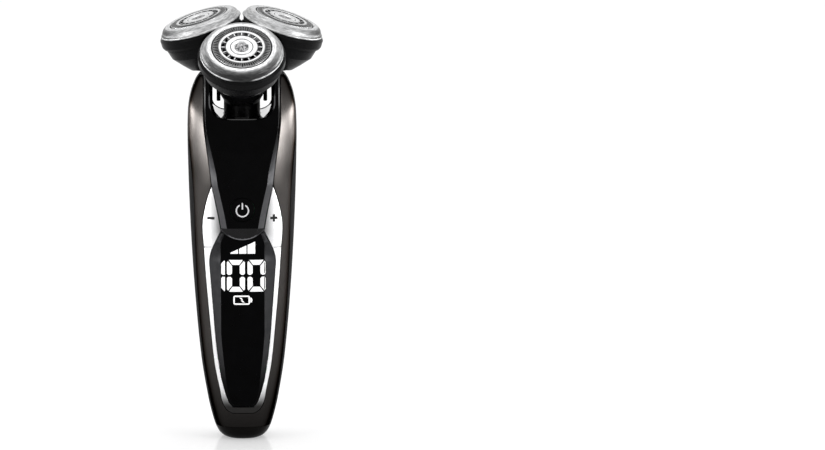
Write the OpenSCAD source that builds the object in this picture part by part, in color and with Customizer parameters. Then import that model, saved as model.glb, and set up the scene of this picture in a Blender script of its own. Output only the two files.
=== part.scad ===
// Rotary electric shaver: a handle with a display window and a pull-off shaving unit of three tilting heads.
// Millimetres, +Z up, the front faces -Y, and the origin is the centre of the flat foot.

/* [Handle] */
// Height of the handle, from the foot to the tips of its horns
handle_h = 140.5; // [138:0.5:143]
// Greatest width of the handle
handle_w = 41.5; // [40.5:0.5:45]
// Greatest reach of the handle in front of its axis
front_reach = 16.6; // [16.2:0.2:18]
// Greatest reach of the handle behind its axis
back_reach = 18.6; // [18:0.2:21]
// Wall of the front frame and the rear cover
shell_wall = 2; // [1.6:0.1:2.2]
// Roundness of the handle's cross-section: 2 is an ellipse, and more is squarer
squareness = 2.5; // [2.2:0.1:2.8]
// Gap between neighbouring outer pieces
seam = 0.2; // [0.15:0.05:0.3]
// Height of the foot cap
foot_h = 5; // [4:0.5:6]

/* [Front panels] */
// Thickness of the panels, the trim and the keys
panel_t = 1.8; // [1.5:0.1:2]
// How far the tongue stands proud of the handle's skin
tongue_rise = 0.5; // [0.2:0.1:0.8]
// Width of the tongue's bevelled edge
tongue_bevel = 2.2; // [1.5:0.1:2.6]
// Distance from the horns' tips down to the lower ends of the keys, where the trim loop begins
key_split_drop = 65.5; // [63.5:0.5:67.5]

/* [U opening] */
// Half of the width between the horns
gap_half = 12.2; // [12:0.1:12.6]
// Depth of the opening below the horns' tips
gap_depth = 16.2; // [15.9:0.1:16.5]
// Radius of the opening's lower corners
gap_corner = 6.5; // [5:0.5:7]
// Wall of the saddle that lines the opening
saddle_wall = 1.5; // [1.2:0.1:1.5]

/* [Controls] */
// Diameter of the power button
power_d = 9; // [8:0.2:10]
// Distance from the horns' tips down to the power button's centre
power_drop = 50.3; // [49.5:0.2:51.5]
// Travel of the power button
power_travel = 0.6; // [0.4:0.1:0.8]
// Distance of the minus and plus marks from the middle
key_x = 12; // [11.5:0.1:12.3]
// Distance from the horns' tips down to the minus and plus marks
key_drop = 55.5; // [54.5:0.5:56.5]
// Travel of the minus and plus keys
key_travel = 0.5; // [0.3:0.1:0.6]

/* [Inside the handle] */
// Diameter of the battery cell
battery_d = 14.4; // [13:0.1:14.8]
// Length of the battery cell
battery_l = 48; // [44:1:50]
// Width of the motor can
motor_w = 19.6; // [18:0.2:20]
// Depth of the motor can
motor_t = 14.8; // [13.5:0.1:15.2]
// Length of the motor can
motor_l = 25; // [22:0.5:27]
// Thickness of the circuit board
board_t = 1.2; // [0.8:0.1:1.4]
// Diameter of the screws' shanks
screw_d = 1.8; // [1.4:0.1:2]

/* [Neck and drive] */
// Diameter of the neck
neck_d = 13.9; // [13.4:0.1:14.4]
// Diameter of the coupling spindle
spindle_d = 3.6; // [3:0.1:4]
// Running clearance of shafts in their bearings
running = 0.05; // [0.03:0.01:0.08]
// Teeth of the motor pinion
pinion_teeth = 10; // [10:1:10]
// Teeth of the spindle gear
spindle_teeth = 22; // [22:1:22]
// Module of the motor's gear pair
fine_module = 0.5; // [0.48:0.01:0.51]

/* [Shaving unit] */
// Forward lean of the shaving unit and the neck
unit_lean = 16; // [14:0.5:18]
// Height of the middle of the three heads' rims above the horns' tips
unit_rise = 18.5; // [18.1:0.1:19.5]
// Distance of that middle in front of the handle's axis
unit_y = 9; // [8.4:0.1:9.6]
// Teeth of the sun gear
sun_teeth = 24; // [24:1:24]
// Teeth of each drive gear
drive_teeth = 18; // [18:1:18]
// Module of the sun and drive gears
gear_module = 0.78; // [0.775:0.005:0.785]
// Width of the gears' teeth
gear_t = 2.4; // [2:0.1:2.5]
// Wall of the unit base
base_wall = 1.3; // [1.1:0.1:1.4]

/* [Heads] */
// Outward slope of each head
head_splay = 20; // [19:0.5:21]
// Depth of the tilt centre below the rim
tilt_depth = 7.5; // [7.3:0.1:7.7]
// Width of the silver bezel, from the guard to its rim
bezel_w = 4.7; // [4.5:0.1:4.8]
// How far the black band of the head stands out beyond its bezel
band_step = 0.8; // [0.6:0.1:0.9]
// Radius of the shaving guard
guard_r = 11.1; // [10.8:0.05:11.2]
// Slots in the guard's outer track
guard_slots = 60; // [36:6:72]
// Windows in the guard's inner track
guard_windows = 24; // [18:2:30]
// Blades on each cutter
cutter_blades = 15; // [9:1:18]

/* [Hidden] */
$fn = 64;
eps = 0.01;
FRONT = 0;
RIGHT = 1;
LEFT = 2;
// Bearing of each head about the unit's axis: front, right rear and left rear
HEAD_BEARING = [270, 30, 150];

// Outline curves as [height / handle height, reach / greatest reach]
WIDTH_CURVE = [[0, 0.29], [0.004, 0.36], [0.014, 0.44], [0.032, 0.507], [0.064, 0.576], [0.113, 0.652],
  [0.225, 0.773], [0.425, 0.893], [0.61, 0.963], [0.79, 1], [0.9, 0.995], [0.95, 0.94], [0.985, 0.85],
  [1, 0.78]];
FRONT_CURVE = [[0, 0.46], [0.004, 0.53], [0.014, 0.62], [0.032, 0.69], [0.064, 0.75], [0.14, 0.84],
  [0.35, 0.945], [0.6, 1], [0.8, 0.985], [0.92, 0.9], [1, 0.7]];
BACK_CURVE = [[0, 0.42], [0.004, 0.49], [0.014, 0.58], [0.032, 0.65], [0.064, 0.71], [0.14, 0.8],
  [0.35, 0.88], [0.55, 0.94], [0.73, 1], [0.86, 0.93], [1, 0.62]];
// Angle of the parting line in front of the widest line
PARTING_CURVE = [[0, 22], [0.3, 21], [0.55, 25], [0.66, 28], [0.77, 20], [0.86, 6], [0.92, 2], [1, 2]];
// Edge curves as [height / handle height, half-width / half the handle's width]: the frame's opening below
// and above the tips of the keys, then the trim's inner edge round the display window, and the tongue above it
OPENING_LOW = [[0.0754, 0.2024], [0.0854, 0.3133], [0.1068, 0.3928], [0.1423, 0.441], [0.2135, 0.5349],
  [0.3274, 0.6145], [0.4342, 0.6771], [0.5338, 0.7229], [0.5979, 0.7446], [0.6512, 0.6843],
  [0.7082, 0.5687]];
OPENING_HIGH = [[0.7082, 0.5687], [0.7651, 0.6169], [0.8221, 0.6723], [0.8826, 0.7133], [1.0391, 0.7133]];
WINDOW_LOW = [[0.0925, 0.1928], [0.1082, 0.2699], [0.1423, 0.347], [0.1851, 0.4145], [0.2705, 0.4916],
  [0.3772, 0.5494], [0.4698, 0.5976], [0.5018, 0.6072], [0.5338, 0.5542], [0.5836, 0.3855]];
TONGUE_LOW = [[0.5836, 0.3855], [0.6178, 0.4241], [0.6619, 0.4867], [0.7082, 0.559]];

gap_floor_z = handle_h - gap_depth;
key_split_z = handle_h - key_split_drop;
power_z = handle_h - power_drop;
key_z = handle_h - key_drop;
unit_z = handle_h + unit_rise;
opening_low_z = OPENING_LOW[0][0] * handle_h;
tips_z = OPENING_HIGH[0][0] * handle_h;
window_low_z = WINDOW_LOW[0][0] * handle_h;
waist_z = TONGUE_LOW[0][0] * handle_h;
waist_half = TONGUE_LOW[0][1] * handle_w / 2;
// The tongue ends in a shallow arc below the waist
tongue_drop = 3.6;
tongue_low_z = waist_z - tongue_drop;
tongue_arc_r = (pow(waist_half, 2) + pow(tongue_drop, 2)) / (2 * tongue_drop);
// Heights at which the trim's lower corners end and its sides begin
corner_z = 0.142 * handle_h;
side_z = 0.185 * handle_h;
trim_inset = 0.15;
trim_reach = 0.385 * handle_w;
window_inset = 0.4;

// Inside the handle, from the front to the back
display_y = -12;
display_t = 2.4;
board_y = display_y + display_t + 0.05;
plate_y = board_y + board_t + 0.6;
plate_t = 1.2;
plate_half = 10;
side_wall_t = 1.2;
plate_low_z = 15;
plate_step_z = 24;
plate_top_z = unit_z - 65.5;
board_low_z = plate_step_z + 2;
board_top_z = unit_z - 63;
battery_y = plate_y + plate_t + battery_d / 2 + 0.1;
battery_low_z = 18;
contact_t = 0.4;
display_half = 8.4;
dome_h = 0.8;
screw_head_d = 3.2;
screw_head_h = 0.9;
board_screw_low = board_low_z + 4;
board_screw_top = board_top_z - 16;
BOARD_SCREWS = [for (x = [-8, 8], z = [board_screw_low, board_screw_top]) [x, z]];
display_low_z = board_screw_low + 14;
display_top_z = key_split_z;
GRIP_ANGLE = 46;

// Inlet socket in the foot
inlet_w = 9;
inlet_t = 5.4;
inlet_wall = 1;
inlet_depth = 9.5;
inlet_pin_d = 1.6;
inlet_pin_l = 4.6;
inlet_pin_x = 2.2;

// Shaving unit, along its own axis from the middle of the heads' rims
gear_distance = gear_module * (sun_teeth + drive_teeth) / 2;
sun_r = gear_module * sun_teeth / 2;
drive_r = gear_module * drive_teeth / 2;
head_r = gear_distance + tilt_depth * sin(head_splay);
tilt_z = -tilt_depth * cos(head_splay);
cover_top = -12.9;
cover_t = 1.2;
base_top = cover_top - cover_t;
gear_top = base_top - 0.3;
gear_bottom = gear_top - gear_t;
base_bottom = gear_bottom - 0.3 - base_wall;
core_top_r = sun_r + 3.2;
core_low_r = sun_r + 2.1;
tooth_gap = 0.3;
socket_top = -23.4;
neck_top = -27.5;
socket_rim_r = 8.1;
spigot_r = 6;
spigot_top = socket_top - 0.3;
coupling_top = -21.6;
coupling_r = 2.6;
peg_x = 8.9;
peg_r = 0.75;
peg_low = -30.2;
tower_bore_r = 1.5;
tower_r = 3.4;
cup_r = 4.6;
cup_bore_r = 3.6;
cup_low = 2.3;
cup_high = 0.9;
head_gap = 0.7;

// Inside the neck
spindle_gear_top = -40;
spindle_gear_t = 2;
fine_distance = fine_module * (pinion_teeth + spindle_teeth) / 2;
plate_top_a = spindle_gear_top - spindle_gear_t - 0.4;
gear_plate_t = 1.6;
motor_top_a = plate_top_a - gear_plate_t;
neck_bottom_a = -39.4;
boss_t = 0.6;
spindle_low_a = motor_top_a + 0.2;

// Heads, as depths below the rim along the head's own axis
bezel_r = guard_r + bezel_w;
bowl_r = bezel_r + band_step;
bezel_h = 3;
bezel_flat_r = guard_r + 1.8;
bezel_bore_r = guard_r + 0.4;
bezel_skirt = 0.8;
bowl_top = 3.3;
bowl_low = 7.6;
band_wall = 1.05;
web_t = 1.3;
hub_r = 8.8;
hub_wall = 1.3;
hub_low = 9.3;
hub_top = 6;
// The unit's bowl under each head: its rim sits inside the head's band, on a sphere about the tilt centre
shell_r = bowl_r - band_wall - 0.3;
shell_wall_b = 1.15;
shell_rim = 6.3;
BOWL = [[0, shell_rim], [shell_r, shell_rim], [shell_r, 8.6], [shell_r - 0.9, 11.9], [shell_r - 4, 15.7],
  [shell_r - 6.3, 18.2], [0, 18.2]];
BOWL_CAVITY = [[0, shell_rim - 1], [shell_r - shell_wall_b, shell_rim - 1], [shell_r - shell_wall_b, 8.4],
  [hub_r + 0.4, 10.3], [0, 10.3]];
guard_top = 0.3;
guard_t = 0.4;
guard_flange_r = guard_r + 0.9;
guard_depth = 2.1;
flange_t = 0.4;
ledge_depth = 3.6;
socket_r = 1.7;
ball_r = 1.3;
key_bar_r = 0.35;
key_bar_half = 2.05;
cutter_hub_r = 2.9;
gimbal_in_r = 5.2;
gimbal_out_r = 6.8;
gimbal_h = 2.2;
pivot_r = 0.55;

// ---------------------------------------------------------------- curves and lofts

function clamp01(v) = min(1, max(0, v));
function slope(keys, i) =
  let (a = keys[max(i - 1, 0)], b = keys[min(i + 1, len(keys) - 1)])
  (b[1] - a[1]) / (b[0] - a[0]);
// Value at s of the smooth curve through the keys
function along(keys, s) =
  let (
    i = max(0, min(len([for (k = keys) if (k[0] <= s) k]) - 1, len(keys) - 2)),
    a = keys[i], b = keys[i + 1], h = b[0] - a[0], t = clamp01((s - a[0]) / h)
  )
  (2 * pow(t, 3) - 3 * pow(t, 2) + 1) * a[1] + (pow(t, 3) - 2 * pow(t, 2) + t) * slope(keys, i) * h
  + (3 * pow(t, 2) - 2 * pow(t, 3)) * b[1] + (pow(t, 3) - pow(t, 2)) * slope(keys, i + 1) * h;
function spread(a, b, n) = [for (i = [0:n]) a + (b - a) * i / n];
function lerp(a, b, t) = a + (b - a) * t;
function tail(v) = [for (i = [1:len(v) - 1]) v[i]];

function half_width(z) = handle_w / 2 * along(WIDTH_CURVE, z / handle_h);
function front_of(z) = front_reach * along(FRONT_CURVE, z / handle_h);
function back_of(z) = back_reach * along(BACK_CURVE, z / handle_h);
function parting(z) = along(PARTING_CURVE, z / handle_h);
function signed_power(v) = sign(v) * pow(abs(v), 2 / squareness);
// Point of the handle's skin at height z and angle t, moved inwards by inset
function skin(z, t, inset) = [
  (half_width(z) - inset) * signed_power(cos(t)),
  ((sin(t) < 0 ? front_of(z) : back_of(z)) - inset) * signed_power(sin(t)),
  z
];
// Y of the front skin at height z, a distance x from the middle
function skin_y(z, x) = -front_of(z) * pow(1 - pow(min(1, abs(x) / half_width(z)), squareness), 1 / squareness);
function opening(z) = handle_w / 2 * along(z < tips_z ? OPENING_LOW : OPENING_HIGH, z / handle_h);
function window_edge(z) = handle_w / 2 * along(z < waist_z ? WINDOW_LOW : TONGUE_LOW, z / handle_h);
function tongue_edge(z) =
  z < waist_z ? sqrt(max(0.2, pow(tongue_arc_r, 2) - pow(tongue_low_z + tongue_arc_r - z, 2)))
  : z < tips_z ? window_edge(z) : opening(z) - seam;

// Closed slab between two grids of points of the same size
module slab(outer, inner) {
  rows = len(outer);
  cols = len(outer[0]);
  function o(i, j) = i * cols + j;
  function n(i, j) = rows * cols + i * cols + j;
  quads = concat(
    [for (i = [0:rows - 2], j = [0:cols - 2]) [o(i, j), o(i, j + 1), o(i + 1, j + 1), o(i + 1, j)]],
    [for (i = [0:rows - 2], j = [0:cols - 2]) [n(i, j), n(i + 1, j), n(i + 1, j + 1), n(i, j + 1)]],
    [for (j = [0:cols - 2]) [o(0, j), n(0, j), n(0, j + 1), o(0, j + 1)]],
    [for (j = [0:cols - 2]) [o(rows - 1, j), o(rows - 1, j + 1), n(rows - 1, j + 1), n(rows - 1, j)]],
    [for (i = [0:rows - 2]) [o(i, 0), o(i + 1, 0), n(i + 1, 0), n(i, 0)]],
    [for (i = [0:rows - 2]) [o(i, cols - 1), n(i, cols - 1), n(i + 1, cols - 1), o(i + 1, cols - 1)]]
  );
  polyhedron(
    points = [for (grid = [outer, inner], row = grid, p = row) p],
    faces = [for (q = quads, k = [0, 1]) k == 0 ? [q[2], q[1], q[0]] : [q[3], q[2], q[0]]]
  );
}

// Wall that follows the handle's skin over the heights zs, at the angles that angles[i] lists
module skin_wall(zs, angles, outset, inset) {
  slab(
    [for (i = [0:len(zs) - 1]) [for (t = angles[i]) skin(zs[i], t, outset)]],
    [for (i = [0:len(zs) - 1]) [for (t = angles[i]) skin(zs[i], t, inset)]]
  );
}

// Solid inside the handle's skin over the heights zs
module skin_core(zs, inset, sides = 32) {
  rings = [for (z = zs) [for (k = [0:sides - 1]) skin(z, 360 * k / sides, inset)]];
  rows = len(rings);
  polyhedron(
    points = [for (r = rings, p = r) p],
    faces = concat(
      [for (i = [0:rows - 2], j = [0:sides - 1], k = [0, 1])
        let (a = i * sides + j, b = i * sides + (j + 1) % sides)
        k == 0 ? [a + sides, b, a] : [a + sides, b + sides, b]],
      [for (k = [1:sides - 2]) [0, k, k + 1]],
      [for (k = [1:sides - 2]) [0, k + 1, k] + (rows - 1) * sides * [1, 1, 1]]
    )
  );
}

// Extrudes a front outline, drawn as [x, height], from y0 to y1
module front_extrude(y0, y1) {
  translate([0, y1, 0])
    rotate([90, 0, 0])
      linear_extrude(y1 - y0)
        children();
}

// Outline with the half-width edge(z) at each of the heights zs
module mirrored_outline(zs, widths) {
  polygon(concat(
    [for (i = [0:len(zs) - 1]) [widths[i], zs[i]]],
    [for (i = [len(zs) - 1:-1:0]) [-widths[i], zs[i]]]
  ));
}

// Outline of the U opening, grown by grow
module gap_outline(grow = 0) {
  half = gap_half + grow;
  low = gap_floor_z - grow;
  corner = gap_corner + grow;
  translate([-half, low + corner])
    square([2 * half, handle_h]);
  translate([corner - half, low])
    square([2 * (half - corner), corner + 1]);
  for (side = [-1, 1])
    translate([side * (half - corner), low + corner])
      circle(corner);
}

// ---------------------------------------------------------------- frames

module unit_space() {
  translate([0, -unit_y, unit_z])
    rotate([unit_lean, 0, 0])
      children();
}

// The unit's space, turned so that +X points outwards at head n
module arm_space(n) {
  unit_space()
    rotate(HEAD_BEARING[n])
      children();
}

// The space of head n: the origin is the middle of its rim, and +Z its own axis
module head_space(n) {
  arm_space(n)
    translate([head_r, 0, 0])
      rotate([0, head_splay, 0])
        children();
}

// Gear outline with involute flanks and stub teeth; a tooth points along +X
module gear_outline(teeth, mod, backlash = 0.05) {
  pressure = 25;
  pitch_r = mod * teeth / 2;
  base_r = pitch_r * cos(pressure);
  tip_r = pitch_r + 0.8 * mod;
  root_r = pitch_r - 1.1 * mod;
  function involute(r) = let (a = acos(min(1, base_r / r))) tan(a) * 180 / PI - a;
  function half_angle(r) =
    90 / teeth + involute(pitch_r) - involute(max(r, base_r)) - backlash / pitch_r * 180 / PI;
  radii = [root_r, max(base_r, root_r + 0.1 * mod), pitch_r, tip_r];
  polygon([for (k = [0:teeth - 1], side = [-1, 1], i = [0:3])
    let (r = radii[side < 0 ? i : 3 - i], a = 360 * k / teeth + side * half_angle(r))
    r * [cos(a), sin(a)]]);
}

// Turn that brings a gear into mesh with one at its bearing, whose tooth points along +X
function mesh_turn(bearing, own, other) = bearing + 180 + bearing * other / own + 180 / own;

module ring(outer, inner, low, high) {
  translate([0, 0, low])
    difference() {
      cylinder(r = outer, h = high - low);
      translate([0, 0, -1])
        cylinder(r = inner, h = high - low + 2);
    }
}

// ---------------------------------------------------------------- handle: outside

SHELL_Z = concat(
  spread(foot_h, 0.14 * handle_h, 5),
  spread(0.2 * handle_h, 0.84 * handle_h, 9),
  spread(0.88 * handle_h, handle_h, 6)
);

module front_frame() {
  angles = [for (z = SHELL_Z) spread(-180 + parting(z), -parting(z), 22)];
  cuts = concat(spread(opening_low_z, corner_z, 6), spread(side_z, tips_z, 12),
    spread(tips_z + 0.05 * handle_h, 0.88 * handle_h, 3), [1.04 * handle_h]);
  color("#5b5552")
    difference() {
      skin_wall(SHELL_Z, angles, 0, shell_wall);
      front_extrude(-3 * front_reach, -1)
        mirrored_outline(cuts, [for (z = cuts) opening(z)]);
    }
}

module rear_cover() {
  edge = 0.5;
  angles = [for (z = SHELL_Z) concat(
    spread(edge - parting(z), GRIP_ANGLE, 5),
    tail(spread(GRIP_ANGLE, 180 - GRIP_ANGLE, 8)),
    tail(spread(180 - GRIP_ANGLE, 180 + parting(z) - edge, 5))
  )];
  color("#151517")
    difference() {
      skin_wall(SHELL_Z, angles, 0, shell_wall);
      front_extrude(1, 3 * back_reach)
        gap_outline();
    }
}

// Angle from the middle of the back to the grip's edge: the grip narrows towards both ends
function grip_half(z) = (90 - GRIP_ANGLE) * pow(max(0, 1 - pow(abs(z / handle_h - 0.45) / 0.335, 5)), 0.35);
module rear_grip() {
  grip_t = 0.9;
  rib_t = 0.5;
  rib_h = 1.4;
  ribs = 12;
  zs = concat([0.12 * handle_h], spread(0.145 * handle_h, 0.2 * handle_h, 1),
    spread(0.271 * handle_h, 0.7 * handle_h, 6),
    [0.755 * handle_h, 0.78 * handle_h]);
  function row(z, cols, keep) = spread(90 - keep * grip_half(z), 90 + keep * grip_half(z), cols);
  color("#1d1d1f")
    union() {
      skin_wall(zs, [for (z = zs) row(z, 8, 1)], -grip_t, -0.12);
      for (z = spread(0.24 * handle_h, 0.7 * handle_h, ribs - 1))
        skin_wall([z - rib_h / 2, z + rib_h / 2], [row(z, 6, 0.8), row(z, 6, 0.8)], -grip_t - rib_t, -grip_t / 2);
    }
}

// Bevelled panel: rows of seven points across, with a raised flat face between two bevels
module bevelled_panel(rows) {
  function front_row(r) =
    let (z = r[0], w = r[1], f = r[2], lift = r[3], edge_y = skin_y(z, w) + trim_inset)
    [for (x = [-w, -f, -f / 2, 0, f / 2, f, w])
      [x, abs(x) == w ? edge_y : min(edge_y, lerp(edge_y, lerp(skin_y(z, x), -front_of(z), 0.5) - lift, r[4])), z]];
  outer = [for (r = rows) front_row(r)];
  inner = [for (row = outer) [for (p = row) p + [0, panel_t, 0]]];
  slab(outer, inner);
}

// Share of the full face height that the tongue's lower bevel has reached at height z
function tongue_ramp(z) = clamp01((z - tongue_low_z) / 4.5);
module front_panel() {
  zs = concat(spread(tongue_low_z, waist_z, 4), spread(waist_z + 1.5, tips_z, 6),
    spread(0.73 * handle_h, 0.88 * handle_h, 5), spread(0.91 * handle_h, handle_h, 4));
  rows = [for (z = zs)
    let (w = tongue_edge(z), bevel = lerp(tongue_bevel, 0.8, clamp01((z - 104) / 16)))
    [z, w, max(w - bevel, 0.6 * w), lerp(tongue_rise, 0, clamp01((z - 110) / 20)), tongue_ramp(z)]];
  color("#0a0a0b")
    difference() {
      bevelled_panel(rows);
      front_extrude(-3 * front_reach, -1)
        gap_outline();
      translate([0, -1, power_z])
        rotate([90, 0, 0])
          cylinder(d = power_d + 2 * seam, h = 3 * front_reach);
    }
}

module display_window() {
  zs = concat(spread(window_low_z + seam, corner_z + 2, 5), spread(side_z + 2, 0.455 * handle_h, 6),
    spread(0.477 * handle_h, waist_z, 6));
  rows = [for (z = zs)
    let (w = window_edge(z) - seam, bevel = lerp(0.8, 4, clamp01((z - 18) / 30)))
    [z, w, max(w - bevel, min(8.3, 0.8 * w)), 0, clamp01((z - 12) / 8)]];
  color("#08080a")
    difference() {
      translate([0, window_inset, 0])
        bevelled_panel(rows);
      translate([0, -1, tongue_low_z + tongue_arc_r])
        rotate([90, 0, 0])
          cylinder(r = tongue_arc_r + seam, h = 3 * front_reach, $fn = 128);
    }
}

// Bright ring between the frame's opening and the window, from height low to height high
module trim_ring(low, high, x0, x1, cols) {
  zs = low < window_low_z ? concat(spread(opening_low_z - 1, corner_z, 5), spread(side_z, high + 1, 7))
    : spread(low - 1, tips_z + 3, 6);
  outer_z = concat(spread(opening_low_z + seam, corner_z, 6), spread(side_z, tips_z - 1, 16));
  inner_z = concat(spread(window_low_z, corner_z, 6), spread(side_z, waist_z, 12),
    spread(waist_z + 1, tips_z + 2, 7));
  intersection() {
    slab(
      [for (z = zs) [for (x = spread(x0, x1, cols)) [x, skin_y(z, x) + trim_inset, z]]],
      [for (z = zs) [for (x = spread(x0, x1, cols)) [x, skin_y(z, x) + trim_inset + panel_t, z]]]
    );
    front_extrude(-2 * front_reach, 0)
      difference() {
        intersection() {
          mirrored_outline(outer_z, [for (z = outer_z) opening(z) - seam]);
          translate([-handle_w, low])
            square([2 * handle_w, high - low]);
        }
        mirrored_outline(inner_z, [for (z = inner_z) window_edge(z) + (z < waist_z ? 0 : seam)]);
      }
  }
}

module trim_loop() {
  color("#e8e8ea")
    trim_ring(0, key_split_z - seam / 2, -trim_reach, trim_reach, 16);
}

// Key at side -1 (minus) or 1 (plus), with the stem that presses its dome switch
module key(side) {
  stem_r = 1.2;
  stem_end = board_y - dome_h - key_travel - 0.1;
  color("#e8e8ea") {
    trim_ring(key_split_z + seam / 2, handle_h, side > 0 ? 6 : -trim_reach, side > 0 ? trim_reach : -6, 6);
    translate([side * key_x, stem_end, key_z])
      rotate([90, 0, 0])
        cylinder(r = stem_r, h = stem_end - skin_y(key_z, key_x) - panel_t / 2 - trim_inset, $fn = 24);
  }
}

module power_button() {
  face = -front_of(power_z) - tongue_rise - 0.15;
  stem_end = board_y - dome_h - power_travel - 0.1;
  color("#0a0a0b")
    translate([0, 0, power_z])
      rotate([90, 0, 0]) {
        translate([0, 0, -face - panel_t])
          cylinder(d = power_d, h = panel_t);
        translate([0, 0, -stem_end])
          cylinder(r = 1.5, h = stem_end - face - panel_t / 2, $fn = 24);
      }
}

module saddle() {
  inset = shell_wall + 0.9;
  zs = concat(spread(0.8 * handle_h, 0.9 * handle_h, 3), spread(0.93 * handle_h, handle_h, 4));
  color("#111113")
    difference() {
      union() {
        intersection() {
          skin_core(zs, inset);
          front_extrude(-2 * front_reach, 2 * back_reach)
            difference() {
              union() {
                gap_outline(saddle_wall);
                translate([-handle_w, handle_h - saddle_wall])
                  square([2 * handle_w, 1.5 * saddle_wall]);
              }
              gap_outline();
            }
        }
        unit_space()
          translate([0, 0, neck_bottom_a])
            cylinder(r = neck_d / 2 + boss_t, h = 3);
      }
      unit_space()
        translate([0, 0, neck_bottom_a - 1])
          cylinder(d = neck_d + 2 * running, h = 20);
    }
}

module foot_cap() {
  zs = concat([0, 0.004 * handle_h], spread(0.01 * handle_h, foot_h - 0.1, 4));
  color("#141416")
    difference() {
      union() {
        skin_core(zs, 0);
        skin_core([foot_h - 1, foot_h + 3], shell_wall + 0.15);
      }
      translate([0, 0, -1])
        inlet_block(inlet_w + 2 * inlet_wall + 2 * running, inlet_t + 2 * inlet_wall + 2 * running, foot_h + 6);
    }
}

// Upright block with rounded ends
module inlet_block(w, t, h) {
  cube_w = w - t;
  translate([-cube_w / 2, -t / 2, 0])
    cube([cube_w, t, h]);
  for (side = [-1, 1])
    translate([side * cube_w / 2, 0, 0])
      cylinder(d = t, h = h);
}

module inlet_socket() {
  low = 0.3;
  color("#1a1a1c")
    difference() {
      translate([0, 0, low])
        inlet_block(inlet_w + 2 * inlet_wall, inlet_t + 2 * inlet_wall, inlet_depth + 1.5);
      translate([0, 0, low - 1])
        inlet_block(inlet_w, inlet_t, inlet_depth + 1);
      for (side = [-1, 1])
        translate([side * inlet_pin_x, 0, 0])
          cylinder(d = inlet_pin_d, h = 30, $fn = 24);
    }
}

module inlet_pins() {
  color("#c9c9c4")
    for (side = [-1, 1])
      translate([side * inlet_pin_x, 0, inlet_depth - inlet_pin_l])
        cylinder(d = inlet_pin_d, h = inlet_pin_l + 3, $fn = 24);
}

// ---------------------------------------------------------------- handle: inside

module chassis() {
  wall_x = motor_w / 2 + 0.3;
  wall_low_z = battery_low_z + battery_l + 3;
  cradle_t = 3;
  color("#2a2b2e")
    difference() {
      union() {
        front_extrude(plate_y, plate_y + plate_t)
          union() {
            translate([-6.5, plate_low_z])
              square([13, plate_step_z - plate_low_z + 1]);
            translate([-plate_half, plate_step_z])
              square([2 * plate_half, plate_top_z - plate_step_z]);
            translate([-wall_x - side_wall_t, wall_low_z])
              square([2 * (wall_x + side_wall_t), plate_top_z - wall_low_z]);
          }
        for (side = [-1, 1])
          translate([side > 0 ? wall_x : -wall_x - side_wall_t, plate_y, wall_low_z])
            cube([side_wall_t, 14, handle_h]);
        for (z = [battery_low_z + 6, battery_low_z + battery_l - 6 - cradle_t])
          translate([0, battery_y, z])
            intersection() {
              ring(battery_d / 2 + 1.5, battery_d / 2 + 0.1, 0, cradle_t);
              translate([-battery_d, -battery_d, -1])
                cube([2 * battery_d, battery_d * 1.25, cradle_t + 2]);
            }
        for (p = BOARD_SCREWS)
          translate([p[0], plate_y + eps, p[1]])
            rotate([90, 0, 0])
              cylinder(r = 1.8, h = plate_y - board_y - board_t);
      }
      unit_space()
        translate([-handle_w, -handle_w, motor_top_a])
          cube([2 * handle_w, 2 * handle_w, handle_h]);
      for (p = BOARD_SCREWS)
        translate([p[0], plate_y + 2 * plate_t, p[1]])
          rotate([90, 0, 0])
            cylinder(d = screw_d + 0.1, h = 10, $fn = 24);
    }
}

module battery_cell() {
  color("#3f7f5f")
    translate([0, battery_y, battery_low_z]) {
      cylinder(d = battery_d, h = battery_l - 1);
      translate([0, 0, battery_l - 1 - eps])
        cylinder(d = battery_d * 0.4, h = 1);
    }
}

module battery_contacts() {
  strip_w = 6;
  color("#c8c4b8")
    for (z = [battery_low_z - contact_t - 0.02, battery_low_z + battery_l + 0.02])
      translate([-strip_w / 2, plate_y + plate_t + 0.02, z])
        cube([strip_w, battery_y - plate_y + 2, contact_t]);
}

module circuit_board() {
  wing_half = 13.6;
  wing_low = key_z - 7;
  color("#1f5a38")
    difference() {
      front_extrude(board_y, board_y + board_t)
        union() {
          translate([-plate_half, board_low_z])
            square([2 * plate_half, board_top_z - board_low_z]);
          translate([-wing_half, wing_low])
            square([2 * wing_half, 12]);
        }
      for (p = BOARD_SCREWS)
        translate([p[0], 0, p[1]])
          rotate([90, 0, 0])
            cylinder(d = screw_d + 0.2, h = 30, $fn = 24);
    }
}

module display_module() {
  color("#26262c")
    translate([-display_half, display_y, display_low_z])
      cube([2 * display_half, display_t, display_top_z - display_low_z]);
}

module dome_switches() {
  color("#d6d2c4")
    for (p = [[-key_x, key_z], [0, power_z], [key_x, key_z]])
      translate([p[0], board_y - 0.02, p[1]])
        rotate([90, 0, 0])
          cylinder(r1 = 2.2, r2 = 1.4, h = dome_h, $fn = 32);
}

module screws() {
  color("#9a9a9c") {
    for (p = BOARD_SCREWS)
      translate([p[0], board_y, p[1]])
        rotate([90, 0, 0]) {
          cylinder(d = screw_head_d, h = screw_head_h, $fn = 24);
          translate([0, 0, -board_t - 1.6])
            cylinder(d = screw_d, h = board_t + 1.6, $fn = 24);
        }
    unit_space()
      for (side = [-1, 1])
        translate([side * (motor_w / 2 + 0.3 + side_wall_t / 2 - 3.2), -fine_distance, plate_top_a]) {
          cylinder(d = screw_head_d, h = screw_head_h, $fn = 24);
          translate([0, 0, -gear_plate_t - 1.2])
            cylinder(d = screw_d, h = gear_plate_t + 1.2, $fn = 24);
        }
  }
}

// Block with flat front and back and round sides, as a flat-sided motor can has
module can_block(w, t, h) {
  intersection() {
    cylinder(d = w, h = h);
    translate([-w, -t / 2, -1])
      cube([2 * w, t, h + 2]);
  }
}

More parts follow.
